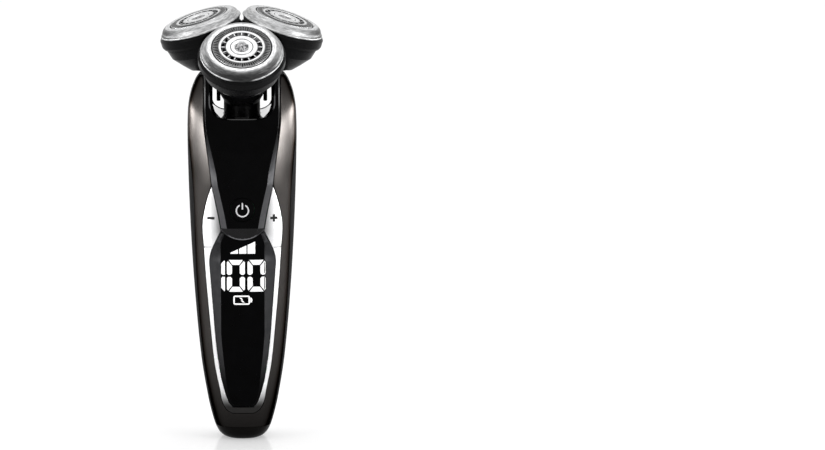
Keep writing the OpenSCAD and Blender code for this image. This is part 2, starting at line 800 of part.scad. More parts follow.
module motor_can() {
  can_wall = 1;
  color("#a8a8aa")
    unit_space()
      translate([0, -fine_distance, motor_top_a - motor_l])
        difference() {
          can_block(motor_w, motor_t, motor_l);
          translate([0, 0, can_wall])
            can_block(motor_w - 2 * can_wall, motor_t - 2 * can_wall, motor_l - 2 * can_wall);
          translate([0, 0, -1])
            cylinder(r = 1 + running, h = motor_l + 2);
          for (side = [-1, 1])
            translate([side * (motor_w / 2 + 0.3 + side_wall_t / 2 - 3.2), 0, motor_l - 1.5])
              cylinder(d = screw_d + 0.1, h = 3, $fn = 24);
        }
}

// Shaft, armature and pinion turn as one piece
module motor_rotor() {
  color("#b9b4a8")
    unit_space()
      translate([0, -fine_distance, 0]) {
        translate([0, 0, motor_top_a - motor_l + 0.2])
          cylinder(r = 1, h = motor_l + gear_plate_t + 0.4 + spindle_gear_t - 0.2, $fn = 32);
        translate([0, 0, motor_top_a - motor_l + 4])
          cylinder(r = motor_t / 2 - 1.6, h = motor_l - 8);
        translate([0, 0, spindle_gear_top - spindle_gear_t])
          rotate(mesh_turn(270, pinion_teeth, spindle_teeth))
            linear_extrude(spindle_gear_t)
              gear_outline(pinion_teeth, fine_module);
      }
}

module gear_plate() {
  color("#b0b0b3")
    unit_space()
      translate([0, 0, plate_top_a - gear_plate_t])
        difference() {
          translate([-motor_w / 2 - 0.3 - side_wall_t, -fine_distance - 5, 0])
            cube([motor_w + 0.6 + 2 * side_wall_t, fine_distance + 9, gear_plate_t]);
          translate([0, 0, -1])
            cylinder(d = spindle_d + 2 * running, h = 10);
          translate([0, -fine_distance, -1])
            cylinder(r = 1.6, h = 10);
          for (side = [-1, 1])
            translate([side * (motor_w / 2 + 0.3 + side_wall_t / 2 - 3.2), -fine_distance, -1])
              cylinder(d = screw_d + 0.1, h = 10, $fn = 24);
        }
}

module spindle_gear() {
  color("#d9d2b8")
    unit_space()
      translate([0, 0, spindle_gear_top - spindle_gear_t])
        linear_extrude(spindle_gear_t)
          difference() {
            gear_outline(spindle_teeth, fine_module);
            circle(d = spindle_d);
          }
}

// Round shaft with a three-winged coupling head that drives the sun gear
module coupling_spindle() {
  color("#c4c4c8")
    unit_space() {
      translate([0, 0, spindle_low_a])
        cylinder(d = spindle_d, h = coupling_top - 4 - spindle_low_a);
      translate([0, 0, coupling_top - 4 - eps])
        coupling_block(coupling_r, 4);
    }
}

module coupling_block(r, h) {
  cylinder(r = 0.62 * r, h = h);
  for (a = [90, 210, 330])
    rotate(a)
      translate([0, -0.22 * r, 0])
        cube([r, 0.44 * r, h]);
}

module neck() {
  flare = 2.2;
  bore_r = 4.4;
  bearing_h = 2;
  color("#0f0f11")
    unit_space()
      difference() {
        union() {
          translate([0, 0, neck_bottom_a])
            cylinder(d = neck_d, h = neck_top - flare - neck_bottom_a);
          translate([0, 0, neck_top - flare])
            cylinder(r1 = neck_d / 2, r2 = socket_rim_r, h = flare);
          translate([0, 0, neck_top - eps])
            cylinder(r = spigot_r, h = spigot_top - neck_top + eps);
        }
        translate([0, 0, neck_bottom_a - 1])
          cylinder(r = bore_r, h = neck_top - 2 - neck_bottom_a + 1 - bearing_h);
        translate([0, 0, neck_top - 2])
          cylinder(r = bore_r, h = 20);
        translate([0, 0, neck_bottom_a])
          cylinder(d = spindle_d + 2 * running, h = 30);
      }
}

module spindle_seal() {
  color("#303034")
    unit_space()
      ring(4.35, spindle_d / 2 + running, neck_top - 2 + 0.02, neck_top - 0.4);
}

// ---------------------------------------------------------------- shaving unit

module unit_base() {
  color("#0e0e10")
    difference() {
      union() {
        for (n = [FRONT, RIGHT, LEFT])
          intersection() {
            head_sector(n, -0.05);
            head_space(n)
              head_turn(BOWL);
            unit_space()
              translate([0, 0, base_top - 20])
                cylinder(r = 50, h = 20);
          }
        unit_space() {
          for (b = HEAD_BEARING)
            rotate(b)
              translate([gear_distance, 0, base_bottom - 0.25])
                cylinder(r1 = drive_r, r2 = drive_r + 3.2, h = 3.2);
          rotate_extrude()
            polygon([[0, neck_top], [socket_rim_r, neck_top], [core_low_r, base_bottom], [core_top_r, base_top],
              [0, base_top]]);
          for (side = [-1, 1])
            translate([side * peg_x, 0, peg_low])
              cylinder(r = peg_r, h = neck_top + 5 - peg_low, $fn = 24);
        }
      }
      unit_space() {
        for (b = HEAD_BEARING)
          rotate(b)
            translate([gear_distance, 0, 0]) {
              translate([0, 0, gear_bottom - 0.3])
                cylinder(r = drive_r + gear_module + tooth_gap, h = 10);
              translate([0, 0, base_bottom - 1])
                cylinder(r = 1 + running, h = 5, $fn = 32);
            }
        translate([0, 0, gear_bottom - 0.3])
          cylinder(r = sun_r + gear_module + tooth_gap, h = 10);
        translate([0, 0, socket_top])
          cylinder(r = 4 + running, h = 20);
        translate([0, 0, neck_top - 1])
          cylinder(r = spigot_r + 0.1, h = socket_top - neck_top + 1);
      }
    }
}

// Cover of the gear case, with a hollow tower at each head that carries its gimbal and guides its drive pin
module unit_cover() {
  color("#161618")
    difference() {
      union() {
        for (n = [FRONT, RIGHT, LEFT])
          intersection() {
            head_sector(n, -0.05);
            head_space(n)
              difference() {
                head_turn(BOWL);
                head_turn(BOWL_CAVITY);
              }
            unit_space()
              translate([0, 0, base_top])
                cylinder(r = 50, h = 30);
          }
        unit_space() {
          translate([0, 0, base_top])
            cylinder(r = core_top_r, h = cover_t);
          translate([0, 0, base_top])
            cylinder(r1 = 8, r2 = 3, h = 9);
        }
        for (n = [FRONT, RIGHT, LEFT])
          arm_space(n)
            translate([gear_distance, 0, 0]) {
              translate([0, 0, base_top])
                cylinder(r = tower_r, h = tilt_z - cup_low - base_top);
              translate([0, 0, tilt_z])
                rotate([0, head_splay, 0]) {
                  translate([0, 0, -cup_low - 1.2])
                    cylinder(r = cup_r, h = cup_low + 1.2 + cup_high);
                  translate([0, -gimbal_out_r + 0.2, 0])
                    rotate([-90, 0, 0])
                      cylinder(r = pivot_r, h = 2 * gimbal_out_r - 0.4, $fn = 24);
                }
            }
      }
      for (n = [FRONT, RIGHT, LEFT])
        arm_space(n)
          translate([gear_distance, 0, 0]) {
            translate([0, 0, base_top - 1])
              cylinder(r = tower_bore_r + running, h = tilt_z - base_top, $fn = 32);
            translate([0, 0, tilt_z])
              rotate([0, head_splay, 0])
                translate([0, 0, -cup_low])
                  cylinder(r = cup_bore_r, h = cup_low + 4, $fn = 48);
          }
      unit_space()
        translate([0, 0, base_top - 1])
          cylinder(r = 2 + running, h = 3, $fn = 32);
    }
}

module sun_gear() {
  hub_r0 = 4;
  color("#e3dfd2")
    unit_space()
      difference() {
        union() {
          translate([0, 0, gear_bottom])
            linear_extrude(gear_t)
              gear_outline(sun_teeth, gear_module);
          translate([0, 0, socket_top + 0.3])
            cylinder(r = hub_r0, h = gear_bottom - socket_top);
          translate([0, 0, gear_top - eps])
            cylinder(r = 2, h = 1.1, $fn = 32);
        }
        translate([0, 0, socket_top - 1])
          coupling_block(coupling_r + 0.3, coupling_top - socket_top + 1.6);
      }
}

module drive_gear(n) {
  color("#e3dfd2")
    arm_space(n)
      translate([gear_distance, 0, 0])
        difference() {
          union() {
            translate([0, 0, gear_bottom])
              rotate(mesh_turn(HEAD_BEARING[n], drive_teeth, sun_teeth) - HEAD_BEARING[n])
                linear_extrude(gear_t)
                  gear_outline(drive_teeth, gear_module);
            translate([0, 0, base_bottom + 0.2])
              cylinder(r = 1, h = gear_bottom - base_bottom, $fn = 32);
          }
          translate([0, 0, gear_bottom + 0.8])
            cylinder(r = 1, h = 10, $fn = 32);
        }
}

// Drive pin: it stands in the drive gear, turns with it, and its ball and cross bar drive the cutter
module drive_pin(n) {
  shank_r = 0.98;
  low = gear_bottom + 0.82;
  collar = gear_top + 0.4;
  color("#cfcfd2")
    arm_space(n)
      translate([gear_distance, 0, 0]) {
        rotate_extrude($fn = 48)
          polygon(concat(
            [[0, low], [shank_r, low], [shank_r, collar], [tower_bore_r, collar], [tower_bore_r, collar + 4.6],
              [shank_r, collar + 4.6]],
            [for (a = spread(-acos(shank_r / ball_r), 80, 8)) [ball_r * cos(a), tilt_z + ball_r * sin(a)]],
            [[0, tilt_z + ball_r * sin(80)]]
          ));
        translate([-key_bar_half, 0, tilt_z])
          rotate([0, 90, 0])
            cylinder(r = key_bar_r, h = 2 * key_bar_half, $fn = 24);
      }
}

// ---------------------------------------------------------------- heads

module gimbal_ring(n) {
  color("#2c2c30")
    arm_space(n)
      translate([gear_distance, 0, tilt_z])
        rotate([0, head_splay, 0])
          difference() {
            union() {
              ring(gimbal_out_r, gimbal_in_r, -gimbal_h / 2, gimbal_h / 2);
              for (turn = [0, 180])
                rotate(turn)
                  translate([gimbal_in_r + 0.3, 0, 0])
                    rotate([0, 90, 0])
                      cylinder(r = pivot_r, h = hub_r - 0.6 - gimbal_in_r - 0.3, $fn = 24);
            }
            translate([0, -10, 0])
              rotate([-90, 0, 0])
                cylinder(r = pivot_r + running, h = 20, $fn = 24);
          }
}

// Revolves a profile of [radius, depth below the rim] about the head's axis
module head_turn(profile, sides = 96) {
  rotate_extrude($fn = sides)
    polygon([for (p = profile) [p[0], -p[1]]]);
}

// Wedge of the unit that belongs to head n, kept clear of its neighbours by twice the gap
module head_sector(n, gap) {
  reach = 60;
  tip = gap / sin(60);
  arm_space(n)
    translate([0, 0, -40])
      linear_extrude(60)
        polygon([[tip, 0], [reach, (reach - tip) * tan(60)], [reach, -(reach - tip) * tan(60)]]);
}

module head_base(n) {
  cup_in = guard_flange_r + 0.15;
  cup_out = cup_in + 1.15;
  ledge_r = guard_r + 0.2;
  lip_r = bezel_r - bezel_skirt - 0.1;
  color("#101012")
    intersection() {
      head_sector(n, head_gap);
      head_space(n)
        difference() {
          head_turn([
            [hub_r - hub_wall, hub_low], [hub_r, hub_low], [hub_r, 8.2], [cup_out - 0.4, 6.9], [cup_out, 6.5],
            [cup_out, bowl_top + web_t], [bowl_r - band_wall, bowl_top + web_t], [bowl_r - band_wall, bowl_low],
            [bowl_r - 0.45, bowl_low], [bowl_r, bowl_low - 0.9], [bowl_r, bowl_top + 1],
            [bezel_r + 0.1, bowl_top], [lip_r, bowl_top], [lip_r, bezel_h - 0.1], [lip_r - 0.7, bezel_h - 0.1],
            [lip_r - 0.7, bowl_top], [cup_out, bowl_top], [cup_out, 1.6], [cup_in, 1.6], [cup_in, ledge_depth],
            [ledge_r, ledge_depth], [ledge_r, 5.9], [hub_r, 6.9], [hub_r, hub_top], [hub_r - hub_wall, hub_top]
          ]);
          translate([0.4 - hub_r, 0, -tilt_depth])
            rotate([0, 90, 0])
              cylinder(r = pivot_r + running, h = 2 * (hub_r - 0.4), $fn = 24);
        }
    }
}

module bezel(n) {
  color("#c9cbce")
    head_space(n)
      head_turn([
        [bezel_bore_r, 0.15], [bezel_bore_r + 0.15, 0], [bezel_flat_r, 0], [bezel_flat_r + 1.4, 0.55],
        [bezel_r - 0.5, bezel_h - 0.55], [bezel_r, bezel_h - 0.1], [bezel_r, bowl_top],
        [bezel_r - bezel_skirt, bowl_top], [bezel_r - bezel_skirt, bezel_h - 0.1], [bezel_flat_r + 0.9, 1.5],
        [bezel_bore_r + 0.6, 1.3], [bezel_bore_r + 0.6, guard_depth - flange_t],
        [bezel_bore_r, guard_depth - flange_t]
      ]);
}

// Slotted shaving guard: an outer track of fine slots, an inner track of windows and a centre cap
module guard(n) {
  slot_in = 0.82 * guard_r;
  slot_out = guard_r - 0.3;
  slot_w = 0.28;
  window_in = 0.565 * guard_r;
  window_out = 0.71 * guard_r;
  window_w = 0.8;
  cap_r = 0.26 * guard_r;
  color("#d3d5d8")
    head_space(n)
      difference() {
        head_turn([
          [0, -guard_top + 0.25], [cap_r, -guard_top + 0.25], [cap_r + 0.15, -guard_top], [0.37 * guard_r, -guard_top],
          [0.385 * guard_r, -guard_top + 0.2], [0.405 * guard_r, -guard_top], [0.55 * guard_r, -guard_top],
          [0.57 * guard_r, -guard_top + 0.12], [0.71 * guard_r, -guard_top + 0.12], [0.73 * guard_r, -guard_top],
          [0.95 * guard_r, -guard_top], [guard_r, -guard_top + 0.25], [guard_r, guard_depth - flange_t],
          [guard_flange_r, guard_depth - flange_t], [guard_flange_r, guard_depth], [guard_r - 0.35, guard_depth],
          [guard_r - 0.35, guard_t - guard_top + 0.1], [0.5 * guard_r, guard_t - guard_top + 0.1],
          [0.4 * guard_r, guard_t - guard_top + 0.35], [0, guard_t - guard_top + 0.35]
        ]);
        for (k = [0:guard_slots - 1])
          rotate(360 * k / guard_slots)
            translate([slot_in, -slot_w / 2, -0.35])
              cube([slot_out - slot_in, slot_w, 2]);
        for (k = [0:guard_windows - 1])
          rotate(360 * (k + 0.5) / guard_windows)
            translate([window_in, -window_w / 2, -0.35])
              cube([window_out - window_in, window_w, 2]);
      }
}

// Cutter: rings of raked blades on a spider, whose hub takes the ball and cross bar of the drive pin
module cutter(n) {
  disc_low = 2.4;
  disc_t = 0.5;
  hub_end = 8.6;
  hub_start = 1.5;
  ceiling = tilt_depth - ball_r - 0.2;
  outer = guard_r - 0.8;
  color("#9fa3a8")
    head_space(n) {
      difference() {
        union() {
          ring(outer, 0.8 * outer, -disc_low, -disc_low + disc_t);
          ring(0.72 * outer, 0.55 * outer, -disc_low, -disc_low + disc_t);
          for (k = [0:4])
            rotate(72 * k)
              translate([cutter_hub_r - 0.5, -0.9, -disc_low])
                cube([outer - cutter_hub_r, 1.8, disc_t]);
          translate([0, 0, -hub_end])
            cylinder(r = cutter_hub_r, h = hub_end - hub_start);
        }
        translate([0, 0, -hub_end - 1])
          cylinder(r = socket_r, h = hub_end + 1 - ceiling, $fn = 32);
        translate([-key_bar_half - 0.3, -key_bar_r - 0.15, -hub_end - 1])
          cube([2 * key_bar_half + 0.6, 2 * key_bar_r + 0.3, hub_end + 1 - ceiling]);
      }
      for (k = [0:cutter_blades - 1])
        rotate(360 * k / cutter_blades)
          for (span = [[0.83 * outer, outer - 0.2], [0.57 * outer, 0.7 * outer]])
            translate([span[0], 0, -disc_low + disc_t - 0.1])
              rotate([-25, 0, 0])
                translate([0, -0.15, 0])
                  cube([span[1] - span[0], 0.3, 1.75]);
    }
}

module retaining_ring(n) {
  spoke_t = 0.6;
  color("#3a3a3e")
    head_space(n) {
      translate([0, 0, -ledge_depth])
        linear_extrude(spoke_t) {
          difference() {
            circle(guard_flange_r - 0.05, $fn = 96);
            circle(guard_r - 0.6, $fn = 96);
          }
          difference() {
            circle(hub_r + 0.3, $fn = 96);
            circle(hub_r - 0.9, $fn = 96);
          }
          for (k = [0:5])
            rotate(60 * k + 30)
              translate([hub_r, -0.8])
                square([guard_r - 0.3 - hub_r, 1.6]);
        }
      ring(guard_flange_r, guard_r - 0.5, spoke_t / 2 - ledge_depth, -guard_depth);
    }
}

// ---------------------------------------------------------------- nodes

front_frame();
front_panel();
display_window();
trim_loop();
key(-1);  // minus_key
key(1);  // plus_key
power_button();
rear_cover();
rear_grip();
saddle();
foot_cap();
inlet_socket();
inlet_pins();
chassis();
battery_cell();
battery_contacts();
circuit_board();
display_module();
dome_switches();
motor_can();
motor_rotor();
gear_plate();
spindle_gear();
coupling_spindle();
neck();
spindle_seal();
screws();
unit_base();
unit_cover();
sun_gear();
drive_gear(FRONT);  // drive_gear_front
drive_gear(RIGHT);  // drive_gear_right
drive_gear(LEFT);  // drive_gear_left
drive_pin(FRONT);  // drive_pin_front
drive_pin(RIGHT);  // drive_pin_right
drive_pin(LEFT);  // drive_pin_left
gimbal_ring(FRONT);  // gimbal_ring_front
gimbal_ring(RIGHT);  // gimbal_ring_right
gimbal_ring(LEFT);  // gimbal_ring_left
head_base(FRONT);  // head_base_front
head_base(RIGHT);  // head_base_right
head_base(LEFT);  // head_base_left
bezel(FRONT);  // bezel_front
bezel(RIGHT);  // bezel_right
bezel(LEFT);  // bezel_left
guard(FRONT);  // guard_front
guard(RIGHT);  // guard_right
guard(LEFT);  // guard_left
cutter(FRONT);  // cutter_front
cutter(RIGHT);  // cutter_right
cutter(LEFT);  // cutter_left
retaining_ring(FRONT);  // retaining_ring_front
retaining_ring(RIGHT);  // retaining_ring_right
retaining_ring(LEFT);  // retaining_ring_left
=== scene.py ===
import math

import bmesh
import bpy
from mathutils import Matrix, Vector


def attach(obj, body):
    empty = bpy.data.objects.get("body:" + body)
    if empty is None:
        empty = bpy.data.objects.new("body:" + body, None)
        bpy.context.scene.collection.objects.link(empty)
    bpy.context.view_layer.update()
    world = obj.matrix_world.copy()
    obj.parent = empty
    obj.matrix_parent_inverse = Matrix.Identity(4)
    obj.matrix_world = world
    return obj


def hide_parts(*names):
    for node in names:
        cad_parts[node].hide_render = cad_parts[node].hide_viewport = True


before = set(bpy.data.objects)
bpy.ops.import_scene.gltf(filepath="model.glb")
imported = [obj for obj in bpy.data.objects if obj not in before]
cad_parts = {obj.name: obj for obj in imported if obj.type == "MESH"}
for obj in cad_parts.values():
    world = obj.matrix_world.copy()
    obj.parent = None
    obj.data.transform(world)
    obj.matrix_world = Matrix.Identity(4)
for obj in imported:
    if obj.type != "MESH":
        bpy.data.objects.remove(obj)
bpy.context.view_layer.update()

MM = 0.001
scene = bpy.context.scene

# ---- curves of the handle, in millimetres

HANDLE_H = 140.5
HALF_W = 20.75
FRONT_REACH = 16.6
BACK_REACH = 18.6
SQUARENESS = 2.5
SEAM = 0.2
TRIM_INSET = 0.15
WINDOW_INSET = 0.4
TONGUE_RISE = 0.5
TONGUE_BEVEL = 2.2
HORN_BEVEL = 0.8
WINDOW_BEVEL = (0.8, 4)
WINDOW_FLAT = 8.3
FACET_TOP_Z = 82.85
LIP_W = 0.42
CHAMFER = 0.45
WAIST_Z = 82.0
TIPS_Z = 99.5
TONGUE_LOW_Z = 78.4
TONGUE_HALF = 8.0
TONGUE_SAG = 3.6
TONGUE_ARC_R = (TONGUE_HALF ** 2 + TONGUE_SAG ** 2) / (2 * TONGUE_SAG)
GAP_HALF = 12.2
GAP_FLOOR_Z = 124.3
GAP_CORNER = 6.5
KEY_SPLIT_Z = 75.0
POWER_Z = 90.2
POWER_R = 4.5
KEY_X = 12.0
KEY_Z = 86.6

# Keys: (share of the handle's height, share of the greatest reach)
WIDTH_CURVE = [(0, 0.29), (0.004, 0.36), (0.014, 0.44), (0.032, 0.507), (0.064, 0.576), (0.113, 0.652),
               (0.225, 0.773), (0.425, 0.893), (0.61, 0.963), (0.79, 1), (0.9, 0.995), (0.95, 0.94),
               (0.985, 0.85), (1, 0.78)]
FRONT_CURVE = [(0, 0.46), (0.004, 0.53), (0.014, 0.62), (0.032, 0.69), (0.064, 0.75), (0.14, 0.84),
               (0.35, 0.945), (0.6, 1), (0.8, 0.985), (0.92, 0.9), (1, 0.7)]
BACK_CURVE = [(0, 0.42), (0.004, 0.49), (0.014, 0.58), (0.032, 0.65), (0.064, 0.71), (0.14, 0.8),
              (0.35, 0.88), (0.55, 0.94), (0.73, 1), (0.86, 0.93), (1, 0.62)]
# Keys: (share of the handle's height, angle of the side seam)
PARTING_CURVE = [(0, 22), (0.3, 21), (0.55, 25), (0.66, 28), (0.77, 20), (0.86, 6), (0.92, 2), (1, 2)]
# Keys: (height, half-width)
OPENING_LOW = [(10.6, 4.2), (12, 6.5), (15, 8.15), (20, 9.15), (30, 11.1), (46, 12.75), (61, 14.05),
               (75, 15), (84, 15.45), (91.5, 14.2), (99.5, 11.8)]
OPENING_HIGH = [(99.5, 11.8), (107.5, 12.8), (115.5, 13.95), (124, 14.8), (146, 14.8)]
WINDOW_LOW = [(13, 4), (15.2, 5.6), (20, 7.2), (26, 8.6), (38, 10.2), (53, 11.4), (66, 12.4),
              (70.5, 12.6), (75, 11.5), (82, 8)]
TONGUE_LOW = [(82, 8), (86.8, 8.8), (93, 10.1), (99.5, 11.6)]


def clamp01(v):
    return min(1.0, max(0.0, v))


def lerp(a, b, t):
    return a + (b - a) * t


def spread(a, b, n):
    """Values from a to b in n even steps."""
    return [a + (b - a) * i / n for i in range(n + 1)]


def smooth(t):
    """Soft step from 0 at t = 0 to 1 at t = 1."""
    t = clamp01(t)
    return t * t * (3 - 2 * t)


def along(keys, s):
    """Value at s of the smooth curve through the keys."""
    last = len(keys) - 1
    i = max(0, min(sum(1 for k in keys if k[0] <= s) - 1, last - 1))

    def slope(n):
        a, b = keys[max(n - 1, 0)], keys[min(n + 1, last)]
        return (b[1] - a[1]) / (b[0] - a[0])

    a, b = keys[i], keys[i + 1]
    h = b[0] - a[0]
    t = clamp01((s - a[0]) / h)
    return ((2 * t ** 3 - 3 * t ** 2 + 1) * a[1] + (t ** 3 - 2 * t ** 2 + t) * slope(i) * h
            + (3 * t ** 2 - 2 * t ** 3) * b[1] + (t ** 3 - t ** 2) * slope(i + 1) * h)


def half_width(z):
    """Half of the handle's width at height z."""
    return HALF_W * along(WIDTH_CURVE, z / HANDLE_H)


def front_of(z):
    return FRONT_REACH * along(FRONT_CURVE, z / HANDLE_H)


def back_of(z):
    return BACK_REACH * along(BACK_CURVE, z / HANDLE_H)


def parting(z):
    """How far the side seam lies to the front at height z, in degrees."""
    return along(PARTING_CURVE, z / HANDLE_H)


def signed_power(v):
    return math.copysign(abs(v) ** (2 / SQUARENESS), v)


def skin(z, t, inset=0.0):
    """Point of the handle's skin at height z and angle t in degrees."""
    c, s = math.cos(math.radians(t)), math.sin(math.radians(t))
    reach = front_of(z) if s < 0 else back_of(z)
    return ((half_width(z) - inset) * signed_power(c), (reach - inset) * signed_power(s), z)


def skin_y(z, x):
    """Y of the skin's front at height z, a distance x from the middle."""
    share = min(1.0, abs(x) / half_width(z))
    return -front_of(z) * (1 - share ** SQUARENESS) ** (1 / SQUARENESS)


def angle_of(z, x):
    """Angle whose skin point lies a distance x from the middle."""
    return math.degrees(math.acos(min(1.0, (x / half_width(z)) ** (SQUARENESS / 2))))


def opening(z):
    """Half-width of the frame's opening at height z."""
    return along(OPENING_LOW if z < TIPS_Z else OPENING_HIGH, z)


def window_edge(z):
    """Half-width inside the trim at height z: of the window, and above it of the tongue."""
    return along(WINDOW_LOW if z < WAIST_Z else TONGUE_LOW, z)


def tongue_edge(z):
    """Half-width of the tongue at height z; its low end is an arc."""
    if z < WAIST_Z:
        return math.sqrt(max(0.04, TONGUE_ARC_R ** 2 - (TONGUE_LOW_Z + TONGUE_ARC_R - z) ** 2))
    return along(TONGUE_LOW, z) if z < TIPS_Z else opening(z) - SEAM


def gap_edge(z):
    """Half-width of the U opening at height z."""
    low = GAP_FLOOR_Z + GAP_CORNER - z
    if low <= 0:
        return GAP_HALF
    return GAP_HALF - GAP_CORNER + math.sqrt(max(0.0, GAP_CORNER ** 2 - low ** 2))


TINY = 1e-6
# Heights round the lower corners of the U opening
CORNER_Z = [GAP_FLOOR_Z + GAP_CORNER * (1 - math.cos(math.radians(a))) for a in range(0, 91, 9)]


def panel_face(z, x, flat, w, rise, share):
    """Y of a front panel: flat as far as flat, bevelled as far as w, and raised by that share."""
    edge = skin_y(z, w) + TRIM_INSET

    def face(at):
        return min(edge, lerp(edge, lerp(skin_y(z, at), -front_of(z), 0.5) - rise, share))

    if abs(x) <= flat:
        return face(x)
    return lerp(face(flat), edge, clamp01((abs(x) - flat) / max(0.01, w - flat)))


def tongue_flat(z):
    """Half-width of the tongue's flat face at height z."""
    w = tongue_edge(z)
    return max(w - lerp(TONGUE_BEVEL, HORN_BEVEL, clamp01((z - 104) / 16)), 0.6 * w)


def tongue_face(z, x):
    """Y of the tongue's front at height z, a distance x from the middle."""
    rise = lerp(TONGUE_RISE, 0, clamp01((z - 110) / 20))
    return panel_face(z, x, tongue_flat(z), tongue_edge(z), rise, clamp01((z - TONGUE_LOW_Z) / 4.5))


def window_flat(z):
    """Half-width of the window's flat face at height z."""
    w = window_edge(z) - SEAM
    bevel = lerp(*WINDOW_BEVEL, clamp01((z - 18) / 30))
    return max(w - bevel, min(WINDOW_FLAT, 0.8 * w))


def window_face(z, x):
    """Y of the display window's front at height z, a distance x from the middle."""
    return panel_face(z, x, window_flat(z), window_edge(z) - SEAM, 0, clamp01((z - 12) / 8)) + WINDOW_INSET


# ---- materials

TURN_RADIUS = 0.01
IOR = 1.45


def add_node(tree, kind, inputs=None, **properties):
    """New shader node; each input gets the value given, or a link where that is a socket."""
    made = tree.nodes.new("ShaderNode" + kind)
    for name, value in properties.items():
        setattr(made, name, value)
    for socket, value in (inputs or {}).items():
        if isinstance(value, bpy.types.NodeSocket):
            tree.links.new(value, made.inputs[socket])
        else:
            made.inputs[socket].default_value = value
    return made


def colour_ramp(tree, share, first, last, *between):
    """Colour that follows the share through stops of (position, colour)."""
    ramp = add_node(tree, "ValToRGB", {"Fac": share})
    stops = ramp.color_ramp.elements
    for stop, (position, colour) in zip(stops, (first, last)):
        stop.position = position
        stop.color = (*colour, 1)
    for position, colour in between:
        stops.new(position).color = (*colour, 1)
    return ramp.outputs["Color"]


def polar_coords(tree):
    """The piece's own coordinates as distance from its axis, turn and height."""
    own = add_node(tree, "Attribute", attribute_name="local").outputs["Vector"]
    split = add_node(tree, "SeparateXYZ", {0: own}).outputs
    angle = add_node(tree, "Math", {0: split["Y"], 1: split["X"]}, operation="ARCTAN2").outputs[0]
    across = add_node(tree, "VectorMath", {0: own, 1: (1, 1, 0)}, operation="MULTIPLY").outputs[0]
    radius = add_node(tree, "VectorMath", {0: across}, operation="LENGTH").outputs["Value"]
    turn = add_node(tree, "Math", {0: angle, 1: TURN_RADIUS}, operation="MULTIPLY").outputs[0]
    return add_node(tree, "CombineXYZ", {"X": radius, "Y": turn, "Z": split["Z"]}).outputs[0]


def new_material(name, base, tint, tint_scale, rough, bump, bump_scale, tint_low=0.35, tint_high=0.65,
                 rough_span=0.06, rough_scale=400.0, relief="noise", metallic=0.0, spec=0.5, edge=1.0,
                 coat=0.0, coat_rough=0.1, detail=4.0, polar=False, stretch=(1, 1, 1), aniso=0.0,
                 shaded=False):
    """Principled material with procedural colour, roughness and relief in the object's own space."""
    m = bpy.data.materials.new(name)
    m.use_nodes = True
    tree = m.node_tree
    tree.nodes.clear()
    coords = polar_coords(tree) if polar else add_node(tree, "TexCoord").outputs["Object"]
    if stretch != (1, 1, 1):
        coords = add_node(tree, "Mapping", {"Scale": stretch, "Vector": coords}).outputs[0]

    def noise(scale):
        return add_node(tree, "TexNoise", {"Scale": scale, "Detail": detail, "Vector": coords}).outputs["Fac"]

    colour = colour_ramp(tree, noise(tint_scale), (tint_low, base), (tint_high, tint))
    if shaded:
        # The mesh's shade attribute scales the colour: painted light and shade on each part of the surface
        share = add_node(tree, "Attribute", attribute_name="shade").outputs["Color"]
        colour = add_node(tree, "Mix", {"Factor": 1.0, "A": colour, "B": share}, data_type="RGBA",
                          blend_type="MULTIPLY").outputs["Result"]
    roughness = add_node(tree, "MapRange", {
        "Value": noise(rough_scale), "From Min": 0.3, "From Max": 0.7,
        "To Min": max(0.02, rough - rough_span), "To Max": min(1.0, rough + rough_span)})
    if relief == "voronoi":
        height = add_node(tree, "TexVoronoi", {"Scale": bump_scale, "Vector": coords}).outputs["Distance"]
    else:
        height = noise(bump_scale)
    normal = add_node(tree, "Bump", {"Strength": bump, "Distance": 0.1 * MM, "Height": height})
    bsdf = add_node(tree, "BsdfPrincipled", {
        "Base Color": colour, "Metallic": metallic, "Roughness": roughness.outputs[0], "IOR": IOR,
        "Specular IOR Level": spec, "Specular Tint": (edge, edge, edge, 1), "Coat Weight": coat,
        "Coat Roughness": coat_rough, "Anisotropic": aniso, "Normal": normal.outputs[0]})
    if aniso:
        tangent = add_node(tree, "Tangent", direction_type="UV_MAP")
        tree.links.new(tangent.outputs[0], bsdf.inputs["Tangent"])
    add_node(tree, "OutputMaterial", {"Surface": bsdf.outputs["BSDF"]})
    return m


